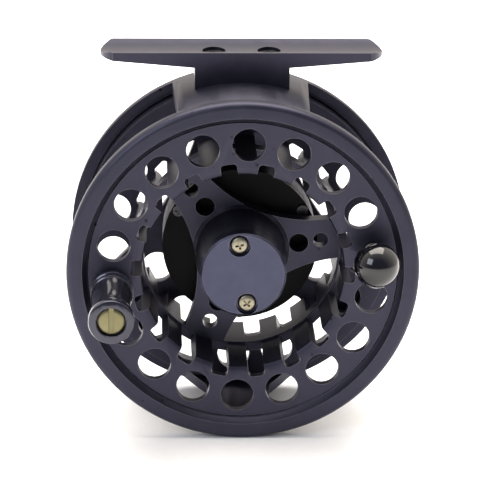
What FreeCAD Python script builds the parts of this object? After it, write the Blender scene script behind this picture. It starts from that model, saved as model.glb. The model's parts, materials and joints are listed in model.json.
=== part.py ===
import FreeCAD, Part
import Sketcher
import math
import os

# Fly reel, millimetres.  +X is to the right and +Z up for someone facing the handle side; +Y runs
# from the handle side to the drag knob.  The origin is the middle of the reel foot's seat.
# Inside each function, depths run along the spindle from the plane of the spool's front rim,
# and radii are measured from the spindle's axis.

doc = FreeCAD.newDocument("FlyReel")

DIMENSIONS = {
    # foot and its place over the spindle
    "foot_rise": 7.45, "foot_front": 20.5, "foot_width": 14.3, "foot_length": 68.0,
    "foot_end_radius": 9.8, "foot_tip_thickness": 1.8, "foot_root_thickness": 3.7,
    "saddle_radius": 18.0, "saddle_sag": 1.2, "pedestal_half_width": 11.35, "pedestal_depth": 13.6,
    "foot_screw_spacing": 13.3, "foot_screw_head_radius": 2.7, "foot_screw_radius": 1.5,
    "foot_screw_head_height": 1.7, "head_clearance": 0.15,
    # spool casting
    "rim_overhang": 0.7, "rim_band": 3.8, "rim_rounding": 1.5, "face_recess": 1.84, "face_step": 1.0,
    "flange_thickness": 2.0, "spool_width": 26.2, "rear_flange_thickness": 2.0,
    "rear_lip_depth": 3.0, "rear_lip_wall": 1.7, "arbor_bore": 24.0, "arbor_wall": 2.0,
    "arbor_chamfer": 1.2, "arbor_tail": 1.0, "hole_ring_radius": 31.37, "flange_hole_radius": 3.95,
    "hole_step_angle": 20.0, "first_hole_angle": 88.0, "slot_width": 3.95, "slot_outer_radius": 26.8,
    "arm_plane": 17.7, "arm_thickness": 3.5, "middle_ring_radius": 23.6, "window_centre": 44.0,
    "window_radius": 33.0, "first_arm_angle": 8.0, "arm_hole_radius": 2.35, "arm_hole_margin": 3.2,
    "arm_small_hole_radius": 1.8, "arm_small_hole_margin": 4.0,
    "hub_wall": 2.0, "hub_taper": 0.75, "hub_tail": 1.0, "hub_tail_wall": 2.3,
    # hub cap and spool retention
    "cap_front": -0.7, "cap_thickness": 4.5, "cap_bevel": 0.5, "cap_pocket_radius": 4.5,
    "cap_pocket_depth": 1.4, "cap_screw_inset": 2.95, "cap_screw_angle": 97.5,
    "cap_screw_head_radius": 2.18, "cap_screw_head_height": 1.2, "cap_counterbore_radius": 2.65,
    "cap_counterbore_depth": 1.6, "cap_screw_radius": 1.25, "cap_screw_grip": 4.8,
    "clip_outer_radius": 5.8, "clip_pocket_depth": 0.9, "clip_thickness": 0.7,
    # spindle, bearings and one-way clutch
    "spindle_radius": 3.0, "spindle_end": 2.6, "groove_depth": 0.6, "groove_width": 1.1,
    "spindle_flange_radius": 5.5, "spindle_flange_thickness": 1.5, "spindle_neck_radius": 4.0,
    "running_gap": 0.04, "bushing_radius": 5.0, "bushing_length": 4.3, "sleeve_bore": 4.4,
    "sleeve_radius": 6.0, "sleeve_bushing_length": 6.0, "roller_gap": 0.01, "clutch_length": 10.8,
    "clutch_wall": 1.35, "roller_radius": 0.8, "roller_count": 8.0, "lip_thickness": 0.5,
    # frame
    "frame_radius": 41.3, "ring_wall": 2.5, "ring_gap": 0.5, "ring_floor_gap": 0.76,
    "ring_floor": 2.05, "ring_lead": 1.8, "ring_bore": 36.8, "ring_edge": 1.25,
    "plate_thickness": 2.8, "plate_inset": 0.25, "cup_radius": 19.0, "cup_bore": 15.9,
    "cup_front": 24.0, "side_window_radius": 76.2, "side_window_x": 83.6, "side_window_z": 46.1,
    "plate_hole_radius": 3.9, "plate_hole_x": 20.1, "plate_hole_z": -10.05, "low_spoke_half_width": 3.25,
    "low_spoke_angle": 42.0, "web_height": 17.7, "window_corner": 2.4,
    "bridge_front": 4.6, "bridge_half_width": 16.6, "bridge_front_half_width": 15.4,
    "bridge_gap": 0.6, "pillar_front_half_width": 6.4, "pillar_middle": 26.0,
    "pillar_middle_half_width": 7.9, "pillar_half_width": 14.2,
    # drag
    "cover_thickness": 1.2, "cover_plug": 3.2, "cover_bore_gap": 0.6, "cover_screw_place": 17.45,
    "cover_screw_radius": 0.8, "cover_screw_head_radius": 1.4, "cover_screw_head_height": 0.8,
    "cover_screw_grip": 5.0, "seal_section": 0.68, "disc_radius": 15.2, "disc_thickness": 1.15,
    "disc_gap": 0.15, "rotor_thickness": 2.4, "pressure_plate_thickness": 1.1, "pin_place": 11.3,
    "pin_radius": 1.1, "pin_clearance": 0.1, "spider_thickness": 0.9, "spider_radius": 13.0,
    "spring_height": 1.7, "spring_radius": 9.9, "spring_bore": 6.8, "spring_leaf": 0.4,
    "nut_thickness": 1.6, "nut_radius": 13.2, "insert_radius": 6.0, "spindle_nut_flats": 10.0,
    "spindle_nut_height": 1.9,
    # drag knob, its click and the spool's click
    "knob_radius": 18.0, "knob_gap": 0.7, "knob_cavity_radius": 14.2, "knob_cavity_depth": 4.7,
    "knob_height": 8.9, "knob_roof": 2.6, "knob_bevel": 0.8, "knob_taper": 0.8,
    "scallop_radius": 2.6, "scallop_place": 19.7, "click_step_angle": 30.0, "dimple_place": 16.4,
    "dimple_radius": 0.8, "dimple_depth": 0.45, "ball_radius": 1.0, "ball_drop": 0.15,
    "ball_hole_depth": 2.6, "knob_screw_head_radius": 4.4, "knob_screw_head_height": 1.3,
    "knob_screw_radius": 1.5, "knob_screw_grip": 3.6, "plunger_radius": 1.05,
    "plunger_length": 2.8, "plunger_inset": 1.2, "plunger_angle": 30.0, "plunger_tip": 0.4,
    "plunger_gap": 0.05, "plunger_bore_depth": 3.2, "notch_width": 1.8, "notch_depth": 0.55,
    "notch_step_angle": 15.0,
    # winding handle and counterweight
    "handle_angle": 188.0, "handle_length": 23.3, "handle_radius": 5.15, "handle_gap": 0.3,
    "handle_bore": 2.05, "post_radius": 2.0, "post_rivet_radius": 3.2, "post_rivet_height": 0.9,
    "handle_recess_radius": 3.45, "handle_recess_depth": 2.4, "handle_screw_head_radius": 3.2,
    "handle_screw_head_height": 1.3, "handle_screw_radius": 1.0, "handle_screw_grip": 6.0,
    "handle_washer_thickness": 0.4, "counterweight_angle": 8.0, "counterweight_radius": 5.4,
    "counterweight_standoff": 8.04, "counterweight_neck_radius": 3.4, "counterweight_screw_radius": 1.5,
    "counterweight_screw_head_radius": 2.9, "counterweight_screw_grip": 4.0,
}


class Size:
    """A number with the spreadsheet expression that gives it."""

    def __init__(self, value, text):
        self.value = float(value)
        self.text = text

    def joined(self, other, sign, value):
        return Size(value, f"({self.text} {sign} {as_size(other).text})")

    def __add__(self, other):
        return self.joined(other, "+", self.value + as_size(other).value)

    def __radd__(self, other):
        return as_size(other) + self

    def __sub__(self, other):
        return self.joined(other, "-", self.value - as_size(other).value)

    def __rsub__(self, other):
        return as_size(other) - self

    def __mul__(self, other):
        return self.joined(other, "*", self.value * as_size(other).value)

    def __rmul__(self, other):
        return as_size(other) * self

    def __truediv__(self, other):
        return self.joined(other, "/", self.value / as_size(other).value)

    def __neg__(self):
        return Size(-self.value, f"(0 - {self.text})")


def as_size(number):
    return number if isinstance(number, Size) else Size(number, repr(float(number)))


class Sheet:
    """Reads a dimension by its name, such as dim.spool_width."""

    def __getattr__(self, alias):
        return Size(DIMENSIONS[alias], "Sizes." + alias)


def fill_sheet():
    sheet = doc.addObject("Spreadsheet::Sheet", "Sizes")
    for row, (alias, number) in enumerate(DIMENSIONS.items(), start=1):
        sheet.set(f"A{row}", alias.replace("_", " "))
        sheet.set(f"B{row}", str(number))
        sheet.setAlias(f"B{row}", alias)
    doc.recompute()


dim = Sheet()
NODES = []


# ---- depths that several pieces share -------------------------------------------------------
def across(radius, angle):
    """X and Z of a point at a radius and an angle counter-clockwise from +X."""
    turn = as_size(angle)
    radius = as_size(radius)
    x = Size(radius.value * math.cos(math.radians(turn.value)), f"{radius.text} * cos({turn.text} * 1 deg)")
    z = Size(radius.value * math.sin(math.radians(turn.value)), f"{radius.text} * sin({turn.text} * 1 deg)")
    return x, z


seat_height = dim.frame_radius + dim.foot_rise
rim_radius = dim.frame_radius + dim.rim_overhang
clutch_radius = (dim.sleeve_radius + dim.running_gap + dim.roller_radius * 2 + dim.roller_gap
                 + dim.clutch_wall)
hub_base_radius = clutch_radius + dim.hub_wall
hub_front_radius = hub_base_radius - dim.hub_taper
hub_tail_radius = clutch_radius + dim.hub_tail_wall
plunger_place = hub_tail_radius - dim.plunger_inset
cap_screw_place = hub_front_radius - dim.cap_screw_inset
arm_hole_place = hub_base_radius + dim.arm_hole_margin
arm_small_hole_place = dim.middle_ring_radius - dim.arm_small_hole_margin
flange_back = dim.face_recess + dim.flange_thickness
rear_flange_front = flange_back + dim.spool_width
rear_flange_back = rear_flange_front + dim.rear_flange_thickness
lip_end = rear_flange_front + dim.rear_lip_depth + dim.rear_flange_thickness
arbor_radius = dim.arbor_bore + dim.arbor_wall
ring_recess = dim.frame_radius - dim.ring_wall
lip_radius = ring_recess - dim.ring_gap
ring_floor_front = lip_end + dim.ring_floor_gap
frame_back = ring_floor_front + dim.ring_floor
ring_front = ring_floor_front - dim.ring_lead
plate_back = frame_back - dim.plate_inset
plate_front = plate_back - dim.plate_thickness
plate_edge = lip_radius - dim.rear_lip_wall - dim.ring_gap
cap_seat = dim.cap_front + dim.cap_thickness
bushing_front = cap_seat + dim.clip_pocket_depth
clutch_front = bushing_front + dim.bushing_length + 0.5
clutch_back = clutch_front + dim.clutch_length
sleeve_front = clutch_front
arm_back = dim.arm_plane + dim.arm_thickness
hub_back = arm_back + dim.hub_tail
cover_front = dim.cup_front - dim.cover_thickness
cover_back = dim.cup_front + dim.cover_plug
front_disc_front = cover_back + dim.disc_gap
rotor_front = front_disc_front + dim.disc_thickness
rotor_back = rotor_front + dim.rotor_thickness
rear_disc_back = rotor_back + dim.disc_thickness
pressure_front = rear_disc_back + dim.disc_gap
pressure_back = pressure_front + dim.pressure_plate_thickness
flange_front = plate_front - dim.spindle_flange_thickness
knob_front = plate_back + dim.knob_gap
spider_front = plate_back + 0.4
spider_back = spider_front + dim.spider_thickness
nut_front = spider_back + dim.spring_height
nut_back = nut_front + dim.nut_thickness
knob_roof_front = knob_front + dim.knob_cavity_depth
knob_roof_back = knob_roof_front + dim.knob_roof
foot_middle = dim.foot_front + dim.foot_width / 2


# ---- ways of working ------------------------------------------------------------------------
def bind(item, prop, size):
    item.setExpression(prop, as_size(size).text)


def origin_feature(body, role):
    return [feature for feature in body.Origin.OriginFeatures if feature.Role == role][0]


def new_body(name):
    return doc.addObject("PartDesign::Body", name)


def finish(item, label):
    """Names a finished piece and moves it from the spindle's frame to the foot's frame."""
    item.Label = label
    bind(item, "Placement.Base.y", -foot_middle)
    bind(item, "Placement.Base.z", -seat_height)
    NODES.append(item)
    return item


def sketch_on(body, name, role):
    sketch = body.newObject("Sketcher::SketchObject", name)
    sketch.AttachmentSupport = [(origin_feature(body, role), "")]
    sketch.MapMode = "FlatFace"
    return sketch


def face_sketch(body, name, depth, turn=0.0):
    """A sketch across the spindle at a depth, turned counter-clockwise as seen from the front."""
    sketch = sketch_on(body, name, "XZ_Plane")
    sketch.AttachmentOffset = FreeCAD.Placement(
        FreeCAD.Vector(0, 0, 0), FreeCAD.Rotation(FreeCAD.Vector(0, 0, 1), 10.0))
    bind(sketch, "AttachmentOffset.Base.z", -as_size(depth))
    bind(sketch, "AttachmentOffset.Rotation.Angle", as_size(turn))
    return sketch


def pin_point(sketch, line, end, point):
    for kind, coordinate in zip(("DistanceX", "DistanceY"), point):
        size = as_size(coordinate)
        number = sketch.addConstraint(Sketcher.Constraint(kind, -1, 1, line, end, size.value))
        sketch.setExpression(f"Constraints[{number}]", size.text)


def outline(sketch, points):
    """A closed outline of straight lines, each corner held by the sheet."""
    first = sketch.GeometryCount
    corners = [FreeCAD.Vector(as_size(x).value, as_size(y).value, 0) for x, y in points]
    count = len(points)
    for index in range(count):
        line = Part.LineSegment(corners[index], corners[(index + 1) % count])
        sketch.addGeometry(line, False)
    for index in range(count):
        following = first + (index + 1) % count
        sketch.addConstraint(Sketcher.Constraint("Coincident", first + index, 2, following, 1))
    for index, point in enumerate(points):
        pin_point(sketch, first + index, 1, point)


def circle(sketch, x, y, radius):
    radius = as_size(radius)
    centre = FreeCAD.Vector(as_size(x).value, as_size(y).value, 0)
    number = sketch.addGeometry(Part.Circle(centre, FreeCAD.Vector(0, 0, 1), radius.value), False)
    pin_point(sketch, number, 3, (x, y))
    held = sketch.addConstraint(Sketcher.Constraint("Radius", number, radius.value))
    sketch.setExpression(f"Constraints[{held}]", radius.text)


def revolve(body, name, points):
    """Turns an outline of (radius, depth) corners about the spindle's axis."""
    sketch = sketch_on(body, name + "Outline", "XY_Plane")
    outline(sketch, points)
    turning = body.newObject("PartDesign::Revolution", name)
    turning.Profile = sketch
    turning.ReferenceAxis = (sketch, ["V_Axis"])
    turning.Angle = 360.0
    body.Tip = turning
    return turning


def cut(body, name, sketch, length=None):
    """Cuts a sketch backwards by a length, or right through both ways."""
    pocket = body.newObject("PartDesign::Pocket", name)
    pocket.Profile = sketch
    if length is None:
        pocket.Type = 1
        pocket.Midplane = True
    else:
        pocket.Length = as_size(length).value
        bind(pocket, "Length", length)
    body.Tip = pocket
    return pocket


def raise_pad(body, name, sketch, length):
    pad = body.newObject("PartDesign::Pad", name)
    pad.Profile = sketch
    pad.Reversed = True
    pad.Length = as_size(length).value
    bind(pad, "Length", length)
    body.Tip = pad
    return pad


def repeat(body, name, feature, count, angle=360.0):
    pattern = body.newObject("PartDesign::PolarPattern", name)
    pattern.Originals = [feature]
    pattern.Axis = (origin_feature(body, "Y_Axis"), [""])
    pattern.Angle = angle
    pattern.Occurrences = count
    body.Tip = pattern
    return pattern


def drill(body, name, place, radius, angle, start=0.0, length=None, count=1):
    """Drills a round hole off the axis, once or evenly round it."""
    sketch = face_sketch(body, name + "Circle", start, angle)
    circle(sketch, place, 0.0, radius)
    pocket = cut(body, name, sketch, length)
    return repeat(body, name + "Round", pocket, count) if count > 1 else pocket


def soften(body, name, kind, amount, radius, depth):
    """Rounds or bevels the circular edge of the given radius at the given depth."""
    doc.recompute()
    base = body.Tip
    wanted = []
    for number, edge in enumerate(base.Shape.Edges, start=1):
        curve = edge.Curve
        if not isinstance(curve, Part.Circle) or math.hypot(curve.Center.x, curve.Center.z) > 1e-6:
            continue
        right_radius = abs(curve.Radius - radius.value) < 1e-4
        right_depth = abs(curve.Center.y - as_size(depth).value) < 1e-4
        if right_radius and right_depth:
            wanted.append(f"Edge{number}")
    dressing = body.newObject("PartDesign::" + kind, name)
    dressing.Base = (base, wanted)
    prop = "Radius" if kind == "Fillet" else "Size"
    setattr(dressing, prop, as_size(amount).value)
    bind(dressing, prop, amount)
    body.Tip = dressing
    return dressing


def turned(name, label, points):
    body = new_body(name)
    revolve(body, name + "Turning", points)
    return finish(body, label)


def rod(name, radius, start, length, x=0.0, z=0.0):
    """A cylinder along the spindle's direction."""
    item = doc.addObject("Part::Cylinder", name)
    item.Placement = FreeCAD.Placement(FreeCAD.Vector(), FreeCAD.Rotation(FreeCAD.Vector(1, 0, 0), -90))
    bind(item, "Radius", radius)
    bind(item, "Height", length)
    place(item, x, start, z)
    return item


def post(name, radius, bottom, height, x, y):
    """An upright cylinder."""
    item = doc.addObject("Part::Cylinder", name)
    bind(item, "Radius", radius)
    bind(item, "Height", height)
    place(item, x, y, bottom)
    return item


def block(name, low, high):
    item = doc.addObject("Part::Box", name)
    for prop, start, end in zip(("Length", "Width", "Height"), low, high):
        bind(item, prop, as_size(end) - as_size(start))
    place(item, *low)
    return item


def place(item, x, y, z):
    for axis, number in zip("xyz", (x, y, z)):
        bind(item, "Placement.Base." + axis, as_size(number))


def joined(name, shapes):
    item = doc.addObject("Part::MultiFuse", name)
    item.Shapes = shapes
    item.Refine = True
    return item


def shared(name, shapes):
    item = doc.addObject("Part::MultiCommon", name)
    item.Shapes = shapes
    return item


def less(name, base, tool):
    item = doc.addObject("Part::Cut", name)
    item.Base = base
    item.Tool = tool
    item.Refine = True
    return item


def group(name, shapes):
    item = doc.addObject("Part::Compound", name)
    item.Links = shapes
    return item


def tube(name, radius, bore, start, length, x=0.0, z=0.0):
    outside = rod(name + "Outside", radius, start, length, x, z)
    inside = rod(name + "Inside", bore, start, length, x, z)
    return less(name, outside, inside)


def rear_screw(name, head_radius, head_height, shank_radius, face, grip, x, z):
    """A pan-head screw with its head's seat at depth 'face', pointing backwards, cross recessed."""
    head = rod(name + "Head", head_radius, face - head_height, head_height, x, z)
    shank = rod(name + "Shank", shank_radius, face, grip, x, z)
    arm = head_radius * 0.58
    half = head_radius * 0.14
    bottom = face - head_height * 0.45
    level = block(name + "SlotA", (x - arm, face - head_height, z - half), (x + arm, bottom, z + half))
    upright = block(name + "SlotB", (x - half, face - head_height, z - arm), (x + half, bottom, z + arm))
    whole = joined(name + "Blank", [head, shank])
    cross = joined(name + "Cross", [level, upright])
    return less(name, whole, cross)


# ---- spool ----------------------------------------------------------------------------------
def make_spool():
    """One casting: pierced flanges with a palming rim, slotted arbor, three arms and a hub."""
    body = new_body("Spool")
    revolve(body, "HubAndArms", [
        (dim.clip_outer_radius + 0.3, cap_seat), (hub_front_radius, cap_seat),
        (hub_base_radius, dim.arm_plane), (dim.middle_ring_radius + 0.7, dim.arm_plane),
        (dim.middle_ring_radius + 0.7, arm_back), (hub_tail_radius, arm_back),
        (hub_tail_radius, hub_back), (clutch_radius, hub_back),
        (clutch_radius, clutch_front), (dim.bushing_radius, clutch_front),
        (dim.bushing_radius, bushing_front), (dim.clip_outer_radius + 0.3, bushing_front)])
    windows = face_sketch(body, "WindowCircle", dim.arm_plane - 0.05, dim.first_arm_angle + 60)
    circle(windows, dim.window_centre, 0.0, dim.window_radius)
    window = cut(body, "Window", windows, dim.arm_thickness + 0.1)
    repeat(body, "Windows", window, 3)
    drill(body, "ArmHole", arm_hole_place, dim.arm_hole_radius, dim.first_arm_angle,
          dim.arm_plane - 0.05, dim.arm_thickness + 0.1, 3)
    drill(body, "ArmSmallHole", arm_small_hole_place, dim.arm_small_hole_radius,
          dim.first_arm_angle, dim.arm_plane - 0.05, dim.arm_thickness + 0.1, 3)
    rim_inside = rim_radius - dim.rim_band
    revolve(body, "ArborAndFlanges", [
        (dim.arbor_bore, dim.face_recess + dim.arbor_chamfer),
        (dim.arbor_bore + dim.arbor_chamfer, dim.face_recess),
        (rim_inside - dim.face_step, dim.face_recess), (rim_inside, 0.0), (rim_radius, 0.0),
        (rim_radius, flange_back), (arbor_radius, flange_back),
        (arbor_radius, rear_flange_front), (lip_radius, rear_flange_front), (lip_radius, lip_end),
        (lip_radius - dim.rear_lip_wall, lip_end), (lip_radius - dim.rear_lip_wall, rear_flange_back),
        (arbor_radius, rear_flange_back), (arbor_radius, rear_flange_back + dim.arbor_tail),
        (dim.arbor_bore, rear_flange_back + dim.arbor_tail)])
    revolve(body, "MiddleRing", [
        (dim.middle_ring_radius, dim.arm_plane), (dim.arbor_bore + 0.5, dim.arm_plane),
        (dim.arbor_bore + 0.5, arm_back), (dim.middle_ring_radius, arm_back)])
    soften(body, "RimRounding", "Fillet", dim.rim_rounding, rim_radius, 0.0)
    soften(body, "RimBackRounding", "Fillet", dim.rim_rounding / 2, rim_radius, flange_back)
    soften(body, "HubBevel", "Chamfer", 0.25, hub_front_radius, cap_seat)
    cut_flange_holes(body)
    cut_slots(body)
    cut_hub(body)
    return finish(body, "spool")


def cut_flange_holes(body):
    """Eighteen places at even steps; the front flange leaves two for the handle and its balance."""
    first = dim.first_hole_angle + dim.hole_step_angle * 6
    sketch = face_sketch(body, "FrontHoleCircles", -1.0, first)
    circle(sketch, dim.hole_ring_radius, 0.0, dim.flange_hole_radius)
    circle(sketch, -dim.hole_ring_radius, 0.0, dim.flange_hole_radius)
    pocket = cut(body, "FrontHoles", sketch, flange_back + 2)
    repeat(body, "FrontHolesRound", pocket, 8, 140.0)
    drill(body, "RearHole", dim.hole_ring_radius, dim.flange_hole_radius, dim.first_hole_angle,
          rear_flange_front - 1, dim.rear_flange_thickness + 2, 18)
    for name, angle, radius in (("PostHole", dim.handle_angle, dim.post_radius),
                                ("WeightHole", dim.counterweight_angle, dim.counterweight_screw_radius)):
        drill(body, name, dim.hole_ring_radius, radius, angle, -1.0, flange_back + 2)


def cut_slots(body):
    """Slots between the holes, run through the arbor wall in front of and behind the middle ring."""
    middle = dim.first_hole_angle + dim.hole_step_angle / 2
    stretches = (("FrontSlot", as_size(-1.0), dim.arm_plane + 1),
                 ("RearSlot", arm_back, rear_flange_back + dim.arbor_tail + 1 - arm_back))
    for name, start, length in stretches:
        sketch = face_sketch(body, name + "Outline", start, middle)
        inside = dim.arbor_bore - 1
        half = dim.slot_width / 2
        outline(sketch, [(inside, -half), (dim.slot_outer_radius, -half),
                         (dim.slot_outer_radius, half), (inside, half)])
        repeat(body, name + "s", cut(body, name, sketch, length), 18)


def cut_hub(body):
    """Two tapped holes for the cap and the ring of click notches on the hub's back."""
    for index in range(2):
        drill(body, f"CapScrewHole{index}", cap_screw_place, dim.cap_screw_radius,
              dim.cap_screw_angle + 180 * index, cap_seat - 1, dim.cap_screw_grip + 1)
    sketch = face_sketch(body, "NotchOutline", hub_back - dim.notch_depth, dim.plunger_angle)
    half = dim.notch_width / 2
    outline(sketch, [(clutch_radius - 1, -half), (hub_tail_radius + 0.5, -half),
                     (hub_tail_radius + 0.5, half), (clutch_radius - 1, half)])
    notch = cut(body, "Notch", sketch, dim.notch_depth + 1)
    repeat(body, "Notches", notch, 24)


def make_hub_cap():
    body = new_body("HubCap")
    revolve(body, "CapTurning", [
        (0.0, dim.cap_front), (hub_front_radius, dim.cap_front), (hub_front_radius, cap_seat),
        (dim.cap_pocket_radius, cap_seat), (dim.cap_pocket_radius, cap_seat - dim.cap_pocket_depth),
        (0.0, cap_seat - dim.cap_pocket_depth)])
    soften(body, "CapBevel", "Chamfer", dim.cap_bevel, hub_front_radius, dim.cap_front)
    for index in range(2):
        angle = dim.cap_screw_angle + 180 * index
        drill(body, f"CapHole{index}", cap_screw_place, dim.cap_screw_radius, angle,
              dim.cap_front - 1, dim.cap_thickness + 2)
        drill(body, f"CapCounterbore{index}", cap_screw_place, dim.cap_counterbore_radius, angle,
              dim.cap_front - 1, dim.cap_counterbore_depth + 1)
    return finish(body, "hub_cap")


def make_cap_screws():
    screws = []
    for index in range(2):
        x, z = across(cap_screw_place, dim.cap_screw_angle + 180 * index)
        seat = dim.cap_front + dim.cap_counterbore_depth
        grip = cap_seat + dim.cap_screw_grip - 0.3 - seat
        screws.append(rear_screw(f"CapScrew{index}", dim.cap_screw_head_radius,
                                 dim.cap_screw_head_height, dim.cap_screw_radius, seat, grip, x, z))
    return finish(group("CapScrews", screws), "cap_screws")


def make_spool_clip():
    """Open spring ring that snaps into the spindle's groove and keeps the spool on."""
    middle = cap_seat + dim.clip_pocket_depth / 2
    start = middle - dim.clip_thickness / 2
    bore = dim.spindle_radius - dim.groove_depth + 0.25
    ring = tube("ClipRing", dim.clip_outer_radius, bore, start, dim.clip_thickness)
    mouth = block("ClipMouth", (0.0, start - 1, -bore), (dim.clip_outer_radius + 1, start + 2, bore))
    return finish(less("SpoolClip", ring, mouth), "spool_clip")


# ---- spindle and bearings -------------------------------------------------------------------
def make_spindle():
    groove = cap_seat + dim.clip_pocket_depth / 2 - dim.groove_width / 2
    radius = dim.spindle_radius
    end = knob_roof_back + 0.05
    return turned("Spindle", "spindle", [
        (0.0, dim.spindle_end), (radius - 0.4, dim.spindle_end), (radius, dim.spindle_end + 0.4),
        (radius, groove), (radius - dim.groove_depth, groove),
        (radius - dim.groove_depth, groove + dim.groove_width), (radius, groove + dim.groove_width),
        (radius, flange_front), (dim.spindle_flange_radius, flange_front),
        (dim.spindle_flange_radius, plate_front), (dim.spindle_neck_radius, plate_front),
        (dim.spindle_neck_radius, plate_back), (radius, plate_back), (radius, end),
        (dim.knob_screw_radius, end), (dim.knob_screw_radius, end - dim.knob_screw_grip - 0.5),
        (0.0, end - dim.knob_screw_grip - 0.5)])


def make_spindle_nut():
    nut = doc.addObject("Part::Prism", "SpindleNutBlank")
    nut.Polygon = 6
    nut.Placement = FreeCAD.Placement(FreeCAD.Vector(), FreeCAD.Rotation(FreeCAD.Vector(1, 0, 0), -90))
    bind(nut, "Circumradius", dim.spindle_nut_flats / math.sqrt(3))
    bind(nut, "Height", dim.spindle_nut_height)
    place(nut, 0.0, plate_back, 0.0)
    bore = rod("SpindleNutBore", dim.spindle_radius, plate_back - 1, dim.spindle_nut_height + 2)
    return finish(less("SpindleNut", nut, bore), "spindle_nut")


def make_bearings():
    bore = dim.spindle_radius + dim.running_gap
    finish(tube("SpoolBushing", dim.bushing_radius, bore, bushing_front, dim.bushing_length), "spool_bushing")
    rear_end = flange_front - 0.1
    pair = [tube("FrontSleeveBushing", dim.sleeve_bore, bore, sleeve_front + 0.2, dim.sleeve_bushing_length),
            tube("RearSleeveBushing", dim.sleeve_bore, bore, rear_end - dim.sleeve_bushing_length,
                 dim.sleeve_bushing_length)]
    finish(group("RotorBushings", pair), "rotor_bushings")


def make_clutch():
    """One-way roller clutch: drawn shell pressed in the hub, cage and rollers round the sleeve."""
    start = clutch_front
    inside = clutch_radius - dim.clutch_wall
    lip_bore = dim.sleeve_radius + 0.4
    lip = dim.lip_thickness
    turned("ClutchShell", "clutch_shell", [
        (lip_bore, start), (clutch_radius, start), (clutch_radius, clutch_back),
        (lip_bore, clutch_back), (lip_bore, clutch_back - lip), (inside, clutch_back - lip),
        (inside, start + lip), (lip_bore, start + lip)])
    track = dim.sleeve_radius + dim.running_gap + dim.roller_radius
    length = dim.clutch_length - lip * 2
    rollers = []
    pockets = []
    for index in range(int(DIMENSIONS["roller_count"])):
        x, z = across(track, as_size(index) * 360 / dim.roller_count)
        rollers.append(rod(f"Roller{index}", dim.roller_radius, start + lip + 0.4, length - 0.8, x, z))
        pockets.append(rod(f"RollerPocket{index}", dim.roller_radius + 0.08, start + lip + 0.3,
                           length - 0.6, x, z))
    finish(group("ClutchRollers", rollers), "clutch_rollers")
    ring = tube("CageRing", inside - 0.1, dim.sleeve_radius + 0.25, start + lip + 0.05, length - 0.1)
    finish(less("ClutchCage", ring, joined("RollerPockets", pockets)), "clutch_cage")


# ---- frame ----------------------------------------------------------------------------------
def make_frame():
    """One casting: back ring, pierced back plate with the drag cup, top bridge and foot pillar."""
    blank = new_body("FrameBlank")
    edge = dim.ring_edge
    revolve(blank, "RingAndPlate", [
        (dim.spindle_neck_radius, plate_front), (dim.cup_bore, plate_front),
        (dim.cup_bore, dim.cup_front), (dim.cup_radius, dim.cup_front), (dim.cup_radius, plate_front),
        (plate_edge, plate_front), (plate_edge, ring_floor_front), (ring_recess, ring_floor_front),
        (ring_recess, ring_front), (dim.frame_radius, ring_front), (dim.frame_radius, frame_back - edge),
        (dim.frame_radius - edge, frame_back), (dim.ring_bore, frame_back),
        (dim.ring_bore, plate_back), (dim.spindle_neck_radius, plate_back)])
    start = plate_front - 1
    depth = dim.plate_thickness + 2
    ring = tube("SideWindowRing", dim.ring_bore, dim.cup_radius, start, depth)
    rounds = [rod(f"SideWindowRound{side}", dim.side_window_radius, start, depth,
                  side * dim.side_window_x, dim.side_window_z) for side in (-1, 1)]
    upper = shared("SideWindows", [ring, joined("SideWindowRounds", rounds)])
    reach = dim.frame_radius
    half = dim.low_spoke_half_width
    solids = [block("Web", (-reach, start - 1, -dim.web_height), (reach, plate_back + 2, reach))]
    for side in (-1, 1):
        edges = (-half, reach) if side > 0 else (-reach, half)
        spoke = block(f"LowSpoke{side}", (0.0, start - 1, edges[0]), (reach, plate_back + 2, edges[1]))
        solids.append(swung(f"LowSpokeSwung{side}", spoke,
                            dim.low_spoke_angle if side > 0 else 180 - dim.low_spoke_angle))
    lower = less("LowWindow", tube("LowWindowRing", dim.ring_bore, dim.cup_radius, start, depth),
                 joined("AboveLowWindow", solids))
    cuts = [rounded_along_spindle("RoundedSideWindows", upper, dim.window_corner),
            rounded_along_spindle("RoundedLowWindow", lower, dim.window_corner)]
    for side in (-1, 1):
        cuts.append(rod(f"PlateHole{side}", dim.plate_hole_radius, plate_front, depth,
                        side * dim.plate_hole_x, dim.plate_hole_z))
    plate = less("PiercedPlate", blank, joined("PlateOpenings", cuts))
    shell = tube("SideShell", dim.frame_radius, lip_radius + dim.bridge_gap, dim.bridge_front,
                 ring_front + 1 - dim.bridge_front)
    top = tapered("BridgeBlock", dim.bridge_front, ring_front + 1, dim.bridge_front_half_width,
                  dim.bridge_half_width, 0.0, dim.frame_radius + 1)
    low = tapered("PillarBlock", dim.bridge_front, dim.pillar_middle, dim.pillar_front_half_width,
                  dim.pillar_middle_half_width, -dim.frame_radius - 1, 0.0)
    foot = tapered("PillarRoot", dim.pillar_middle, ring_front + 1, dim.pillar_middle_half_width,
                   dim.pillar_half_width, -dim.frame_radius - 1, 0.0)
    sides = shared("BridgeAndPillar", [shell, joined("SideBlocks", [top, low, foot])])
    solid = joined("FrameSolid", [plate, sides])
    return finish(less("Frame", solid, joined("FrameBores", frame_bores())), "frame")


def rounded_along_spindle(name, item, radius):
    """Rounds the straight edges of a shape that run along the spindle."""
    doc.recompute()
    wanted = []
    for number, edge in enumerate(item.Shape.Edges, start=1):
        along = edge.tangentAt(edge.FirstParameter)
        if isinstance(edge.Curve, Part.Line) and abs(abs(along.y) - 1) < 1e-6:
            wanted.append((number, radius.value, radius.value))
    rounded = doc.addObject("Part::Fillet", name)
    rounded.Base = item
    rounded.Edges = wanted
    return rounded


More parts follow.
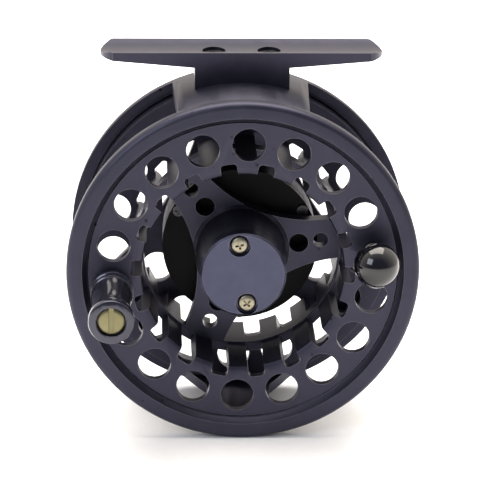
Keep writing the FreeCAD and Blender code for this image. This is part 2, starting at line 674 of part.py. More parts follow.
def swung(name, item, angle):
    """A copy of a shape turned clockwise about the spindle, as seen from the front."""
    turned_item = doc.addObject("Part::Compound", name)
    turned_item.Links = [item]
    turned_item.Placement = FreeCAD.Placement(FreeCAD.Vector(), FreeCAD.Rotation(FreeCAD.Vector(0, 1, 0), 10))
    bind(turned_item, "Placement.Rotation.Angle", as_size(angle))
    return turned_item


def tapered(name, start, end, half_start, half_end, bottom, top):
    """A block whose half width changes along the spindle."""
    wedge = doc.addObject("Part::Wedge", name)
    start, end = as_size(start), as_size(end)
    numbers = {"Xmin": -as_size(half_start), "Xmax": half_start, "Ymin": 0.0, "Ymax": end - start,
               "Zmin": bottom, "Zmax": top, "X2min": -as_size(half_end), "X2max": half_end,
               "Z2min": bottom, "Z2max": top}
    for prop, size in numbers.items():
        setattr(wedge, prop, as_size(size).value)
    for prop, size in numbers.items():
        bind(wedge, prop, size)
    place(wedge, 0.0, start, 0.0)
    return wedge


def frame_bores():
    bores = []
    for index in range(3):
        x, z = across(dim.cover_screw_place, 30 + 120 * index)
        bores.append(rod(f"CoverScrewHole{index}", dim.cover_screw_radius, dim.cup_front - 1,
                         dim.cover_screw_grip + 1, x, z))
        x, z = across(dim.pin_place, 90 + 120 * index)
        bores.append(rod(f"PinHole{index}", dim.pin_radius + dim.pin_clearance, plate_front - 1,
                         dim.plate_thickness + 2, x, z))
    x, z = across(dim.dimple_place, 0.0)
    bores.append(rod("BallHole", dim.ball_radius + 0.05, plate_back - dim.ball_hole_depth,
                     dim.ball_hole_depth + 1, x, z))
    for side in (-1, 1):
        bores.append(post(f"FootScrewHole{side}", dim.foot_screw_radius, dim.frame_radius - 8, 10.0,
                          side * dim.foot_screw_spacing / 2, foot_middle))
    return bores


# ---- reel foot ------------------------------------------------------------------------------
def make_reel_foot():
    """Machined T: a saddle-topped foot with ramped ends on a pedestal that sits on the bridge."""
    body = new_body("FootBlank")
    top = seat_height
    tip = dim.foot_length / 2
    half = dim.pedestal_half_width
    side = face_sketch(body, "FootSide", dim.foot_front)
    outline(side, [
        (-tip, top), (-tip, top - dim.foot_tip_thickness), (-half, top - dim.foot_root_thickness),
        (-half, dim.frame_radius - 5), (half, dim.frame_radius - 5),
        (half, top - dim.foot_root_thickness), (tip, top - dim.foot_tip_thickness), (tip, top)])
    raise_pad(body, "FootPad", side, dim.foot_width)
    saddle = sketch_on(body, "SaddleCircle", "YZ_Plane")
    circle(saddle, foot_middle, top - dim.saddle_sag + dim.saddle_radius, dim.saddle_radius)
    cut(body, "Saddle", saddle)
    arch = face_sketch(body, "ArchCircle", dim.foot_front - 1)
    circle(arch, 0.0, 0.0, dim.frame_radius)
    cut(body, "Arch", arch, dim.foot_width + 2)
    rear = dim.foot_front + dim.foot_width
    end_centre = tip - dim.foot_end_radius
    bottom = dim.frame_radius - 6
    plan = [block("PlanMiddle", (-end_centre, dim.foot_front, bottom), (end_centre, rear, top + 1))]
    for sign in (-1, 1):
        plan.append(post(f"PlanEnd{sign}", dim.foot_end_radius, bottom, top + 1 - bottom,
                         sign * end_centre, foot_middle))
    shaped = shared("FootShaped", [body, joined("FootPlan", plan)])
    relief = block("PedestalRelief", (-half - 1, dim.foot_front + dim.pedestal_depth, 0.0),
                   (half + 1, rear + 1, top - dim.foot_root_thickness))
    holes = [relief]
    for sign in (-1, 1):
        x = sign * dim.foot_screw_spacing / 2
        holes.append(post(f"FootHole{sign}", dim.foot_screw_radius + 0.1, dim.frame_radius - 8, 20.0,
                          x, foot_middle))
        holes.append(post(f"FootCounterbore{sign}", dim.foot_screw_head_radius + dim.head_clearance,
                          foot_screw_seat(), 10.0, x, foot_middle))
    return finish(less("ReelFoot", shaped, joined("FootHoles", holes)), "reel_foot")


def foot_screw_seat():
    return seat_height - dim.saddle_sag - dim.foot_screw_head_height - 0.5


def make_foot_screws():
    screws = []
    for sign in (-1, 1):
        x = sign * dim.foot_screw_spacing / 2
        seat = foot_screw_seat()
        bottom = dim.frame_radius - dim.ring_wall - 0.2
        head = post(f"FootScrewHead{sign}", dim.foot_screw_head_radius, seat,
                    dim.foot_screw_head_height, x, foot_middle)
        shank = post(f"FootScrewShank{sign}", dim.foot_screw_radius, bottom, seat - bottom, x, foot_middle)
        socket = doc.addObject("Part::Prism", f"FootScrewSocket{sign}")
        socket.Polygon = 6
        bind(socket, "Circumradius", dim.foot_screw_head_radius * 0.5)
        bind(socket, "Height", dim.foot_screw_head_height)
        place(socket, x, foot_middle, seat + dim.foot_screw_head_height * 0.35)
        whole = joined(f"FootScrewBlank{sign}", [head, shank])
        screws.append(less(f"FootScrew{sign}", whole, socket))
    return finish(group("FootScrews", screws), "foot_screws")


# ---- drag -----------------------------------------------------------------------------------
def make_drag_cover():
    body = new_body("DragCover")
    bore = dim.sleeve_radius + dim.cover_bore_gap
    groove = dim.sleeve_radius + dim.running_gap * 2 + dim.seal_section * 2
    seal_front = dim.cup_front + dim.cover_plug / 2 - dim.seal_section - 0.1
    seal_back = dim.cup_front + dim.cover_plug / 2 + dim.seal_section + 0.1
    revolve(body, "CoverTurning", [
        (bore, cover_front), (dim.cup_radius, cover_front), (dim.cup_radius, dim.cup_front),
        (dim.cup_bore - 0.05, dim.cup_front), (dim.cup_bore - 0.05, cover_back), (bore, cover_back),
        (bore, seal_back), (groove, seal_back), (groove, seal_front), (bore, seal_front)])
    drill(body, "CoverHole", dim.cover_screw_place, dim.cover_screw_radius, 30.0,
          cover_front - 1, dim.cover_thickness + 2, 3)
    drill(body, "PlungerBore", plunger_place, dim.plunger_radius + 0.05, dim.plunger_angle,
          cover_front - 1, dim.plunger_bore_depth + 1)
    return finish(body, "drag_cover")


def make_cover_screws():
    screws = []
    for index in range(3):
        x, z = across(dim.cover_screw_place, 30 + 120 * index)
        grip = dim.cover_thickness + dim.cover_screw_grip - 0.3
        screws.append(rear_screw(f"CoverScrew{index}", dim.cover_screw_head_radius,
                                 dim.cover_screw_head_height, dim.cover_screw_radius, cover_front,
                                 grip, x, z))
    return finish(group("CoverScrews", screws), "cover_screws")


def make_drag_seal():
    ring = doc.addObject("Part::Torus", "DragSeal")
    ring.Placement = FreeCAD.Placement(FreeCAD.Vector(), FreeCAD.Rotation(FreeCAD.Vector(1, 0, 0), -90))
    bind(ring, "Radius1", dim.sleeve_radius + dim.running_gap + dim.seal_section)
    bind(ring, "Radius2", dim.seal_section)
    place(ring, 0.0, dim.cup_front + dim.cover_plug / 2, 0.0)
    return finish(group("DragSealPlaced", [ring]), "drag_seal")


def make_drag_rotor():
    """Drag hub: a sleeve the clutch grips and the disc held between the friction washers."""
    tail_radius = dim.sleeve_radius + 0.4
    turned("DragRotor", "drag_rotor", [
        (dim.sleeve_bore, sleeve_front + 0.2), (dim.sleeve_radius, sleeve_front + 0.2),
        (dim.sleeve_radius, rotor_front), (dim.disc_radius + 0.1, rotor_front),
        (dim.disc_radius + 0.1, rotor_back), (tail_radius, rotor_back),
        (tail_radius, flange_front - 0.1), (dim.sleeve_bore, flange_front - 0.1)])
    finish(tube("FrontDisc", dim.disc_radius, tail_radius + 0.2, front_disc_front, dim.disc_thickness),
           "friction_disc_front")
    finish(tube("RearDisc", dim.disc_radius, tail_radius + 0.2, rotor_back, dim.disc_thickness),
           "friction_disc_rear")


def make_pressure_parts():
    """Plate that squeezes the discs, and the ring of three pins that reaches it from the knob."""
    bore = dim.sleeve_radius + 0.9
    finish(tube("PressurePlate", dim.cup_bore - 0.4, bore, pressure_front, dim.pressure_plate_thickness),
           "pressure_plate")
    parts = [tube("SpiderRing", dim.spider_radius, dim.insert_radius + 0.5, spider_front,
                  dim.spider_thickness)]
    for index in range(3):
        x, z = across(dim.pin_place, 90 + 120 * index)
        parts.append(rod(f"Pin{index}", dim.pin_radius, pressure_back, nut_back - 0.2 - pressure_back, x, z))
    finish(joined("PressurePins", parts), "pressure_pins")


def make_drag_spring():
    """Two cupped spring washers, rim to ring and rim to nut, touching at their bores."""
    low, high = dim.spring_bore, dim.spring_radius
    leaf = dim.spring_leaf
    middle = spider_back + dim.spring_height / 2
    washers = []
    for name, start, bend in (("FrontSpringWasher", spider_back, middle - leaf),
                              ("RearSpringWasher", nut_front - leaf, middle)):
        body = new_body(name)
        profile = [(high, start), (high, start + leaf), (low, bend + leaf), (low, bend)]
        revolve(body, name + "Turning", profile)
        washers.append(body)
    return finish(group("DragSpring", washers), "drag_spring")


def make_thrust_nut():
    body = new_body("ThrustNut")
    bore = dim.insert_radius + 0.05
    revolve(body, "NutTurning", [
        (bore, nut_front), (dim.nut_radius, nut_front), (dim.nut_radius, nut_back), (bore, nut_back)])
    drill(body, "NutPinHole", dim.pin_place, dim.pin_radius + dim.pin_clearance, 90.0,
          nut_front - 1, dim.nut_thickness + 2, 3)
    return finish(body, "thrust_nut")


def make_drag_knob():
    body = new_body("DragKnob")
    back = knob_front + dim.knob_height
    screw_well = dim.knob_screw_head_radius + 0.4
    revolve(body, "KnobTurning", [
        (dim.knob_cavity_radius, knob_front), (dim.knob_radius, knob_front),
        (dim.knob_radius, knob_front + dim.knob_height * 0.3),
        (dim.knob_radius - dim.knob_taper, back), (screw_well, back), (screw_well, knob_roof_back),
        (dim.insert_radius, knob_roof_back), (dim.insert_radius, knob_roof_front),
        (dim.knob_cavity_radius, knob_roof_front)])
    soften(body, "KnobBevel", "Chamfer", dim.knob_bevel, dim.knob_radius - dim.knob_taper, back)
    sketch = face_sketch(body, "ScallopCircle", knob_front - 1, dim.click_step_angle / 2)
    circle(sketch, dim.scallop_place, 0.0, dim.scallop_radius)
    repeat(body, "Scallops", cut(body, "Scallop", sketch, dim.knob_height + 2), 12)
    sketch = face_sketch(body, "DimpleCircle", knob_front - 1)
    circle(sketch, dim.dimple_place, 0.0, dim.dimple_radius)
    repeat(body, "Dimples", cut(body, "Dimple", sketch, dim.dimple_depth + 1), 12)
    finish(body, "drag_knob")
    finish(tube("KnobInsert", dim.insert_radius, dim.spindle_radius + 0.05, nut_front - 0.4,
                knob_roof_back - nut_front + 0.4), "knob_insert")


def make_knob_screw():
    """Pan-head screw in the spindle's rear end; it keeps the knob on."""
    seat = knob_roof_back + 0.05
    head = rod("KnobScrewHead", dim.knob_screw_head_radius, seat, dim.knob_screw_head_height)
    shank = rod("KnobScrewShank", dim.knob_screw_radius, seat - dim.knob_screw_grip, dim.knob_screw_grip)
    slot_half = 0.5
    slot = block("KnobScrewSlot", (-dim.knob_screw_head_radius - 1, seat + 0.6, -slot_half),
                 (dim.knob_screw_head_radius + 1, seat + 5, slot_half))
    return finish(less("KnobScrew", joined("KnobScrewBlank", [head, shank]), slot), "knob_screw")


def make_knob_click():
    """Sprung ball in the back plate that clicks in the knob's ring of dimples."""
    apex = knob_front - dim.ball_drop
    x, z = across(dim.dimple_place, 0.0)
    ball = doc.addObject("Part::Sphere", "DetentBall")
    bind(ball, "Radius", dim.ball_radius)
    place(ball, x, apex - dim.ball_radius, z)
    finish(group("DetentBallPlaced", [ball]), "detent_ball")
    start = plate_back - dim.ball_hole_depth
    finish(tube("DetentSpring", dim.ball_radius - 0.2, dim.ball_radius - 0.6, start,
                apex - dim.ball_radius * 1.95 - start, x, z), "detent_spring")


def make_spool_click():
    """Sprung plunger in the drag cover that clicks in the notches on the hub's back."""
    x, z = across(plunger_place, dim.plunger_angle)
    tip = hub_back + dim.plunger_gap
    cone_length = dim.plunger_radius - dim.plunger_tip
    nose = doc.addObject("Part::Cone", "PlungerNose")
    nose.Placement = FreeCAD.Placement(FreeCAD.Vector(), FreeCAD.Rotation(FreeCAD.Vector(1, 0, 0), -90))
    bind(nose, "Radius1", dim.plunger_tip)
    bind(nose, "Radius2", dim.plunger_radius)
    bind(nose, "Height", cone_length)
    place(nose, x, tip, z)
    stem = rod("PlungerStem", dim.plunger_radius, tip + cone_length, dim.plunger_length - cone_length, x, z)
    finish(joined("ClickPlunger", [nose, stem]), "click_plunger")
    start = tip + dim.plunger_length
    end = cover_front + dim.plunger_bore_depth
    finish(tube("ClickSpring", dim.plunger_radius - 0.1, dim.plunger_radius - 0.5, start, end - start,
                x, z), "click_spring")


# ---- winding handle and counterweight -------------------------------------------------------
def offset_turned(name, points, angle):
    """A turned body moved out to the ring of holes; its depths run forward from the flange face."""
    body = new_body(name)
    revolve(body, name + "Turning", [(radius, dim.face_recess - height) for radius, height in points])
    x, z = across(dim.hole_ring_radius, angle)
    bind(body, "Placement.Base.x", x)
    bind(body, "Placement.Base.z", z)
    return body


def make_handle():
    """Turned knob with grooves by its foot, a slight waist and a flared end, on a riveted post."""
    angle = dim.handle_angle
    radius = dim.handle_radius
    length = dim.handle_length
    gap = dim.handle_gap
    recess = length - dim.handle_recess_depth
    groove = radius - 0.5
    knob = offset_turned("HandleKnob", [
        (dim.handle_bore, gap), (radius - 0.3, gap), (radius, gap + 0.3), (radius, 2.3), (groove, 2.6),
        (groove, 3.1), (radius - 0.1, 3.4), (radius - 0.1, 4.5), (groove, 4.8), (groove, 5.3),
        (radius - 0.2, 5.6), (radius - 0.2, length * 0.42), (radius - 0.75, length * 0.62),
        (radius - 0.75, length * 0.74), (radius - 0.2, length * 0.86), (radius + 0.2, length * 0.93),
        (radius + 0.2, length - 0.6), (radius - 0.4, length), (dim.handle_recess_radius, length),
        (dim.handle_recess_radius, recess), (dim.handle_bore, recess)], angle)
    finish(group("HandleKnobPlaced", [knob]), "handle_knob")
    end = recess + 0.1
    tapped = end - dim.handle_screw_grip
    back = -dim.flange_thickness
    shaft = offset_turned("HandlePost", [
        (0.0, back - dim.post_rivet_height), (dim.post_rivet_radius, back - dim.post_rivet_height),
        (dim.post_rivet_radius, back), (dim.post_radius, back), (dim.post_radius, end),
        (dim.handle_screw_radius, end), (dim.handle_screw_radius, tapped), (0.0, tapped)], angle)
    finish(group("HandlePostPlaced", [shaft]), "handle_post")
    washer = dim.handle_washer_thickness
    ring = offset_turned("HandleWasher", [
        (dim.handle_screw_radius + 0.1, end), (dim.handle_screw_head_radius, end),
        (dim.handle_screw_head_radius, end + washer), (dim.handle_screw_radius + 0.1, end + washer)],
        angle)
    finish(group("HandleWasherPlaced", [ring]), "handle_washer")
    seat = end + washer
    head_end = seat + dim.handle_screw_head_height
    screw = offset_turned("HandleScrewBlank", [
        (0.0, tapped + 0.3), (dim.handle_screw_radius, tapped + 0.3), (dim.handle_screw_radius, seat),
        (dim.handle_screw_head_radius, seat), (dim.handle_screw_head_radius, head_end - 0.2),
        (dim.handle_screw_head_radius - 0.2, head_end), (0.0, head_end)], angle)
    x, z = across(dim.hole_ring_radius, angle)
    face = dim.face_recess - head_end
    slot = block("HandleScrewSlot", (x - 0.7, face - 1, z - dim.handle_screw_head_radius),
                 (x + 0.7, face + 0.6, z + dim.handle_screw_head_radius))
    finish(less("HandleScrew", screw, slot), "handle_screw")


def make_counterweight():
    """Ball on a short neck opposite the handle, held by a screw from behind the flange."""
    x, z = across(dim.hole_ring_radius, dim.counterweight_angle)
    middle = dim.face_recess - dim.counterweight_standoff
    neck = rod("WeightNeck", dim.counterweight_neck_radius, middle, dim.counterweight_standoff, x, z)
    ball = doc.addObject("Part::Sphere", "WeightBall")
    bind(ball, "Radius", dim.counterweight_radius)
    place(ball, x, middle, z)
    grip = dim.counterweight_screw_grip
    hole = rod("WeightHole", dim.counterweight_screw_radius, dim.face_recess - grip - 0.3, grip + 1, x, z)
    weight = less("Counterweight", joined("WeightBlank", [neck, ball]), hole)
    finish(weight, "counterweight")
    head = rod("WeightScrewHead", dim.counterweight_screw_head_radius, flange_back, 0.9, x, z)
    shank = rod("WeightScrewShank", dim.counterweight_screw_radius, dim.face_recess - grip,
                grip + dim.flange_thickness, x, z)
    finish(joined("WeightScrew", [head, shank]), "counterweight_screw")


def check_and_write():
    doc.recompute()
    for item in doc.Objects:
        if "Invalid" in item.State or "Error" in item.State:
            raise RuntimeError(f"{item.Name} failed: {item.State}")
    os.makedirs("parts", exist_ok=True)
    for item in NODES:
        shape = item.Shape
        if shape.isNull() or not shape.isValid() or not shape.Solids:
            raise RuntimeError(f"{item.Label} is not a valid solid")
        print(f"{item.Label:22s} solids {len(shape.Solids):2d}  volume {shape.Volume:10.2f}")
        shape.exportStep(f"parts/{item.Label}.step")


fill_sheet()
make_frame()
make_reel_foot()
make_foot_screws()
make_spindle()
make_spindle_nut()
make_spool()
make_hub_cap()
make_cap_screws()
make_spool_clip()
make_bearings()
make_clutch()
make_drag_cover()
make_cover_screws()
make_drag_seal()
make_drag_rotor()
make_pressure_parts()
make_drag_spring()
make_thrust_nut()
make_drag_knob()
make_knob_screw()
make_knob_click()
make_spool_click()
make_handle()
make_counterweight()
check_and_write()
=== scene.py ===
import json
import math

import bpy
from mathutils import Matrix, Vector


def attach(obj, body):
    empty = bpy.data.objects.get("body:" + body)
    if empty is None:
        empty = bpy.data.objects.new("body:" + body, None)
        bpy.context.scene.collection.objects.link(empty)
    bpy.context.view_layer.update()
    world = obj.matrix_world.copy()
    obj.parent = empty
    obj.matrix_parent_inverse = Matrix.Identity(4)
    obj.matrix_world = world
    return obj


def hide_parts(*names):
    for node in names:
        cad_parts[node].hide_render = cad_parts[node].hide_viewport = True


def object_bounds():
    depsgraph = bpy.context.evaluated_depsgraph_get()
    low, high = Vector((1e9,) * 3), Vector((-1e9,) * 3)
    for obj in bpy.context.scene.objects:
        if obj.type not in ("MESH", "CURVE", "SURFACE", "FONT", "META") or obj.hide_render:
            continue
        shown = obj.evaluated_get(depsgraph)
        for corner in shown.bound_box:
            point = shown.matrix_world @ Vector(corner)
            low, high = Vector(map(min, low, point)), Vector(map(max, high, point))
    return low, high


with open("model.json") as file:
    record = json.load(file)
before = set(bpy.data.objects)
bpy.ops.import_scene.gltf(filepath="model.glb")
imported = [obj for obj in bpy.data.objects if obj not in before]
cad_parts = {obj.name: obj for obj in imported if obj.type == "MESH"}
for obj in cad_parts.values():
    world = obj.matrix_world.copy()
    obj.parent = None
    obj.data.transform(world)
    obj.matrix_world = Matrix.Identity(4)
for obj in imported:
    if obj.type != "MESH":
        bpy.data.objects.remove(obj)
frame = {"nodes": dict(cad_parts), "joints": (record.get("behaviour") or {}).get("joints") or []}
cad_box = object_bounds()

# ---- spool casting ---------------------------------------------------------------------------
# One large-arbor aluminium casting: a front flange with a palming rim and eighteen places of
# pierced holes, a slotted arbor, a rear flange with a lip, and three arms that carry the hub.
# Rim and flanges are turned after casting, and the whole is sprayed satin gunmetal and stoved.

# Pieces are modelled in millimetres round the spindle, with depth 0 (Y) in the plane of this
# casting's front rim, and set down in the frame's metres when they are finished.
MM = 0.001
axle = Vector(next(joint["pos_m"] for joint in frame["joints"] if joint["name"] == "spool_turn"))


def round_place(radius, degrees):
    """X and Z at a radius and an angle counter-clockwise from the right, from the handle side."""
    turn = math.radians(degrees)
    return radius * math.cos(turn), radius * math.sin(turn)


def named(name):
    """The piece that was just added, with its place moved into its mesh."""
    piece = bpy.context.object
    piece.name = name
    piece.data.name = name
    bpy.ops.object.transform_apply(location=True, rotation=True, scale=True)
    return piece


def edit(piece):
    """Opens a piece in edit mode with all of it selected and nothing else."""
    bpy.ops.object.select_all(action="DESELECT")
    piece.select_set(True)
    bpy.context.view_layer.objects.active = piece
    bpy.ops.object.mode_set(mode="EDIT")
    bpy.ops.mesh.select_mode(type="VERT")
    bpy.ops.mesh.select_all(action="SELECT")


def done():
    bpy.ops.object.mode_set(mode="OBJECT")


def lathe(name, corners, place=(0.0, 0.0), steps=180, ring=False):
    """Turns an outline of (radius, depth) corners about an axis, and bridges or fills its ends."""
    radius, depth = corners[0]
    bpy.ops.object.select_all(action="DESELECT")
    bpy.ops.mesh.primitive_circle_add(vertices=steps, radius=radius, rotation=(math.pi / 2, 0, 0),
                                      location=(place[0], depth, place[1]))
    piece = named(name)
    edit(piece)
    for next_radius, next_depth in corners[1:]:
        bpy.ops.mesh.extrude_region_move(TRANSFORM_OT_translate={"value": (0, next_depth - depth, 0)})
        growth = next_radius / radius
        bpy.ops.transform.resize(value=(growth, 1, growth), center_override=(place[0], 0, place[1]))
        radius, depth = next_radius, next_depth
    bpy.ops.mesh.select_all(action="DESELECT")
    bpy.ops.mesh.select_mode(type="EDGE")
    bpy.ops.mesh.select_non_manifold()
    if ring:
        bpy.ops.mesh.bridge_edge_loops()
    else:
        bpy.ops.mesh.fill_holes(sides=0)
    bpy.ops.mesh.select_all(action="SELECT")
    bpy.ops.mesh.normals_make_consistent(inside=False)
    done()
    return piece


def rod(name, radius, start, end, place=(0.0, 0.0), steps=64):
    """A plain cylinder along the spindle from one depth to another, to cut or join with."""
    bpy.ops.object.select_all(action="DESELECT")
    bpy.ops.mesh.primitive_cylinder_add(vertices=steps, radius=radius, depth=end - start,
                                        location=(place[0], (start + end) / 2, place[1]),
                                        rotation=(math.pi / 2, 0, 0))
    return named(name)


def block(name, low, high):
    """A plain box between two corners, to cut or join with."""
    low, high = Vector(low), Vector(high)
    bpy.ops.object.select_all(action="DESELECT")
    bpy.ops.mesh.primitive_cube_add(size=1, location=(low + high) / 2, scale=high - low)
    return named(name)


def pick(piece, wanted):
    """Opens a piece in edit mode with the faces selected for which wanted(centre, normal) is true."""
    edit(piece)
    bpy.ops.mesh.select_mode(type="FACE")
    bpy.ops.mesh.select_all(action="DESELECT")
    done()
    for face in piece.data.polygons:
        face.select = wanted(face.center, face.normal)
    bpy.ops.object.mode_set(mode="EDIT")


def swing(piece, degrees):
    """Turns a piece about the spindle, counter-clockwise from the handle side."""
    edit(piece)
    bpy.ops.mesh.spin(steps=1, angle=math.radians(degrees), center=(0, 0, 0), axis=(0, 1, 0),
                      dupli=True)
    bpy.ops.mesh.select_all(action="INVERT")
    bpy.ops.mesh.delete(type="VERT")
    done()
    return piece


def repeat_round(piece, count, degrees=None):
    """Copies a piece round the spindle, at even steps or at steps of the given degrees."""
    step = math.radians(degrees or 360.0 / count)
    edit(piece)
    bpy.ops.mesh.spin(steps=count - 1, angle=step * (count - 1), center=(0, 0, 0), axis=(0, 1, 0),
                      dupli=True)
    done()
    return piece


def combine(piece, other, operation):
    """Joins, cuts or keeps the overlap of two solids, and removes the second."""
    bpy.context.view_layer.objects.active = piece
    mixing = piece.modifiers.new("mixing", "BOOLEAN")
    mixing.operation = operation
    mixing.solver = "EXACT"
    mixing.object = other
    bpy.ops.object.modifier_apply(modifier=mixing.name)
    bpy.data.objects.remove(other)
    edit(piece)
    bpy.ops.mesh.remove_doubles(threshold=0.0005)
    bpy.ops.mesh.dissolve_degenerate(threshold=0.0005)
    done()
    return piece


def round_edges(piece, width, segments=3, sharpest=30.0, clear=True):
    """Clears flat faces of needless edges, rounds the sharp edges and shades the rest smooth."""
    edit(piece)
    bpy.ops.mesh.remove_doubles(threshold=0.001)
    if clear:
        bpy.ops.mesh.dissolve_limited(angle_limit=math.radians(0.4))
    done()
    bpy.ops.object.shade_smooth_by_angle(angle=math.radians(sharpest))
    rounding = piece.modifiers.new("rounding", "BEVEL")
    rounding.width = width
    rounding.segments = segments
    rounding.angle_limit = math.radians(sharpest)
    rounding.harden_normals = True
    bpy.ops.object.modifier_apply(modifier=rounding.name)
    return piece


def set_down(piece, body, finish, slot, *nodes):
    """Brings a finished piece to the frame's metres; it rides on its body in place of CAD nodes."""
    edit(piece)
    bpy.ops.transform.resize(value=(MM, MM, MM), center_override=(0, 0, 0))
    bpy.ops.transform.translate(value=axle)
    done()
    piece.data.materials.clear()
    piece.data.materials.append(finish)
    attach(piece, body)
    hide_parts(*nodes)


class Wire:
    """One output of a finish's shader nodes.  Arithmetic on it adds Math nodes."""

    def __init__(self, tree, socket):
        self.tree = tree
        self.socket = socket

    def node(self, kind, settings, inputs, output=0):
        """Adds any node: its settings first, then the values or wires of its sockets."""
        added = self.tree.nodes.new(kind)
        for name, value in settings.items():
            if name == "stops":
                set_stops(added.color_ramp, value)
            else:
                setattr(added, name, value)
        for name, value in inputs.items():
            if isinstance(value, Wire):
                self.tree.links.new(value.socket, added.inputs[name])
            else:
                added.inputs[name].default_value = value
        return Wire(self.tree, added.outputs[output])

    def sum_of(self, operation, first, second):
        return self.node("ShaderNodeMath", {"operation": operation}, {0: first, 1: second})

    def __add__(self, other):
        return self.sum_of("ADD", self, other)

    __radd__ = __add__

    def __sub__(self, other):
        return self.sum_of("SUBTRACT", self, other)

    def __rsub__(self, other):
        return self.sum_of("SUBTRACT", other, self)

    def __mul__(self, other):
        return self.sum_of("MULTIPLY", self, other)

    __rmul__ = __mul__

    def feed(self, shader, name):
        self.tree.links.new(self.socket, shader.inputs[name])


def set_stops(ramp, stops):
    """Sets a colour ramp from (position, grey) pairs."""
    while len(ramp.elements) < len(stops):
        ramp.elements.new(1.0)
    for element, (position, grey) in zip(ramp.elements, stops):
        element.position = position
        element.color = (grey, grey, grey, 1.0)


def new_finish(name, metallic, coat=0.0):
    """A new material with its shader and a wire that carries places on the piece."""
    material = bpy.data.materials.new(name)
    material.use_nodes = True
    shader = material.node_tree.nodes["Principled BSDF"]
    shader.inputs["Metallic"].default_value = metallic
    shader.inputs["Coat Weight"].default_value = coat
    shader.inputs["Coat Roughness"].default_value = 0.05
    start = material.node_tree.nodes.new("ShaderNodeTexCoord")
    return material, shader, Wire(material.node_tree, start.outputs["Object"])


def noise(place, scale, detail=3.0, roughness=0.5):
    """Cloudy grain between 0 and 1, with so many lumps to the metre."""
    return place.node("ShaderNodeTexNoise", {}, {
        "Vector": place, "Scale": scale, "Detail": detail, "Roughness": roughness})


def blend_colours(factor, low, high):
    """A mix of two colours, each a wire or a red, green and blue."""
    low, high = (tone if isinstance(tone, Wire) else (*tone, 1.0) for tone in (low, high))
    return factor.node("ShaderNodeMix", {"data_type": "RGBA"}, {0: factor, 6: low, 7: high}, output=2)


def ramp(wire, *stops):
    return wire.node("ShaderNodeValToRGB", {"stops": stops}, {"Fac": wire})


def bump(height, strength, distance):
    return height.node("ShaderNodeBump", {}, {
        "Height": height, "Strength": strength, "Distance": distance})


def edges_of(place, radius):
    """A mask of a piece's edges: where the normal of a softened edge leaves the face's own."""
    soft = place.node("ShaderNodeBevel", {"samples": 4}, {"Radius": radius})
    own = place.node("ShaderNodeNewGeometry", {}, {}, output=1)
    alike = place.node("ShaderNodeVectorMath", {"operation": "DOT_PRODUCT"}, {0: soft, 1: own}, output=1)
    return ramp(1.0 - alike, (0.02, 0.0), (0.12, 1.0))


def cast_gunmetal():
    """Satin lacquer on a casting: fine grain, soft clouds, few small pits, rubbed edges with a painted
    highlight.
    """
    material, shader, place = new_finish("cast_gunmetal", 0.8)
    cloud = noise(place, 140.0, detail=5.0, roughness=0.6)
    grain = noise(place, 2600.0, detail=2.0)
    cells = place.node("ShaderNodeTexVoronoi", {}, {"Vector": place, "Scale": 330.0})
    chosen = ramp(noise(place, 60.0, detail=2.0), (0.56, 0.0), (0.62, 1.0))
    pits = ramp(cells, (0.10, 1.0), (0.17, 0.0)) * chosen
    colour = blend_colours(cloud, (0.026, 0.026, 0.042), (0.046, 0.045, 0.068))
    # The edges are lightened in the base colour: partly rubbed paint, partly a painted highlight on the
    # rounded edges.
    colour = blend_colours(edges_of(place, 0.2 * MM) * 0.55, colour, (0.26, 0.25, 0.28))
    colour = blend_colours(pits * 0.85, colour, (0.003, 0.003, 0.005))
    colour.feed(shader, "Base Color")
    (0.32 + 0.14 * cloud + 0.06 * grain).feed(shader, "Roughness")
    bump(0.35 * grain - pits, strength=0.35, distance=0.05 * MM).feed(shader, "Normal")
    return material


gunmetal_cast = cast_gunmetal()

rim_radius, rim_inside, face_depth, flange_back = 42.0, 38.2, 1.84, 3.84
rim_roll, rim_ease, land, groove_width, groove_depth = 1.5, 0.75, 0.9, 0.6, 0.25
arbor_bore, arbor_radius, arbor_chamfer, arm_overlap = 24.0, 26.0, 1.2, 0.5
rear_front, rear_back, arbor_end = 30.04, 32.04, 33.04
lip_radius, lip_bore, lip_end = 38.3, 36.6, 35.04
place_count, first_place, place_radius, hole_radius = 18, 88.0, 31.37, 3.95
place_step = 360.0 / place_count
handle_angle, handle_bolt, weight_angle, weight_bolt = 188.0, 2.0, 8.0, 1.5
arm_count, arm_front, arm_back, arm_ring = 3, 17.7, 21.2, 23.6
window_radius, window_place = 33.0, 44.0
arm_holes = ((14.2, 2.35), (19.6, 1.8))
hub_bore, hub_base, hub_face, hub_seat, hub_tail, hub_back = 9.0, 11.0, 10.25, 3.8, 11.3, 22.2
hub_fillet, bushing_bore, clip_well, clip_depth, clutch_front = 0.8, 5.0, 6.1, 4.7, 9.5
slot_half, slot_end, slot_rounding, slot_gap = 1.975, 26.8, 0.9, 0.3
notch_count, first_notch, notch_depth, notch_half = 24, 30.0, 0.55, 0.9
past = 1.0  # how far a cutter runs on beyond what it cuts


def corner_arc(radius, depth, size, start):
    """Corners of a quarter round of the given size, from one angle on to the next."""
    turns = [math.radians(start + 90.0 * step / 6) for step in range(7)]
    return [(radius + size * math.cos(turn), depth + size * math.sin(turn)) for turn in turns]


spool = lathe("spool_casting", [
    (arbor_bore, face_depth + arbor_chamfer), (arbor_bore + 0.35, face_depth + 0.45),
    (arbor_bore + arbor_chamfer, face_depth), (rim_inside - land - groove_width, face_depth),
    (rim_inside - land - groove_width / 2, face_depth + groove_depth),
    (rim_inside - land, face_depth), (rim_inside, 0.0)]
    + corner_arc(rim_radius - rim_roll, rim_roll, rim_roll, -90.0)
    + corner_arc(rim_radius - rim_ease, flange_back - rim_ease, rim_ease, 0.0)
    + [(arbor_radius, flange_back),
       (arbor_radius, rear_front), (lip_radius, rear_front), (lip_radius, lip_end), (lip_bore, lip_end),
       (lip_bore, rear_back), (arbor_radius, rear_back), (arbor_radius, arbor_end),
       (arbor_bore, arbor_end)], ring=True)

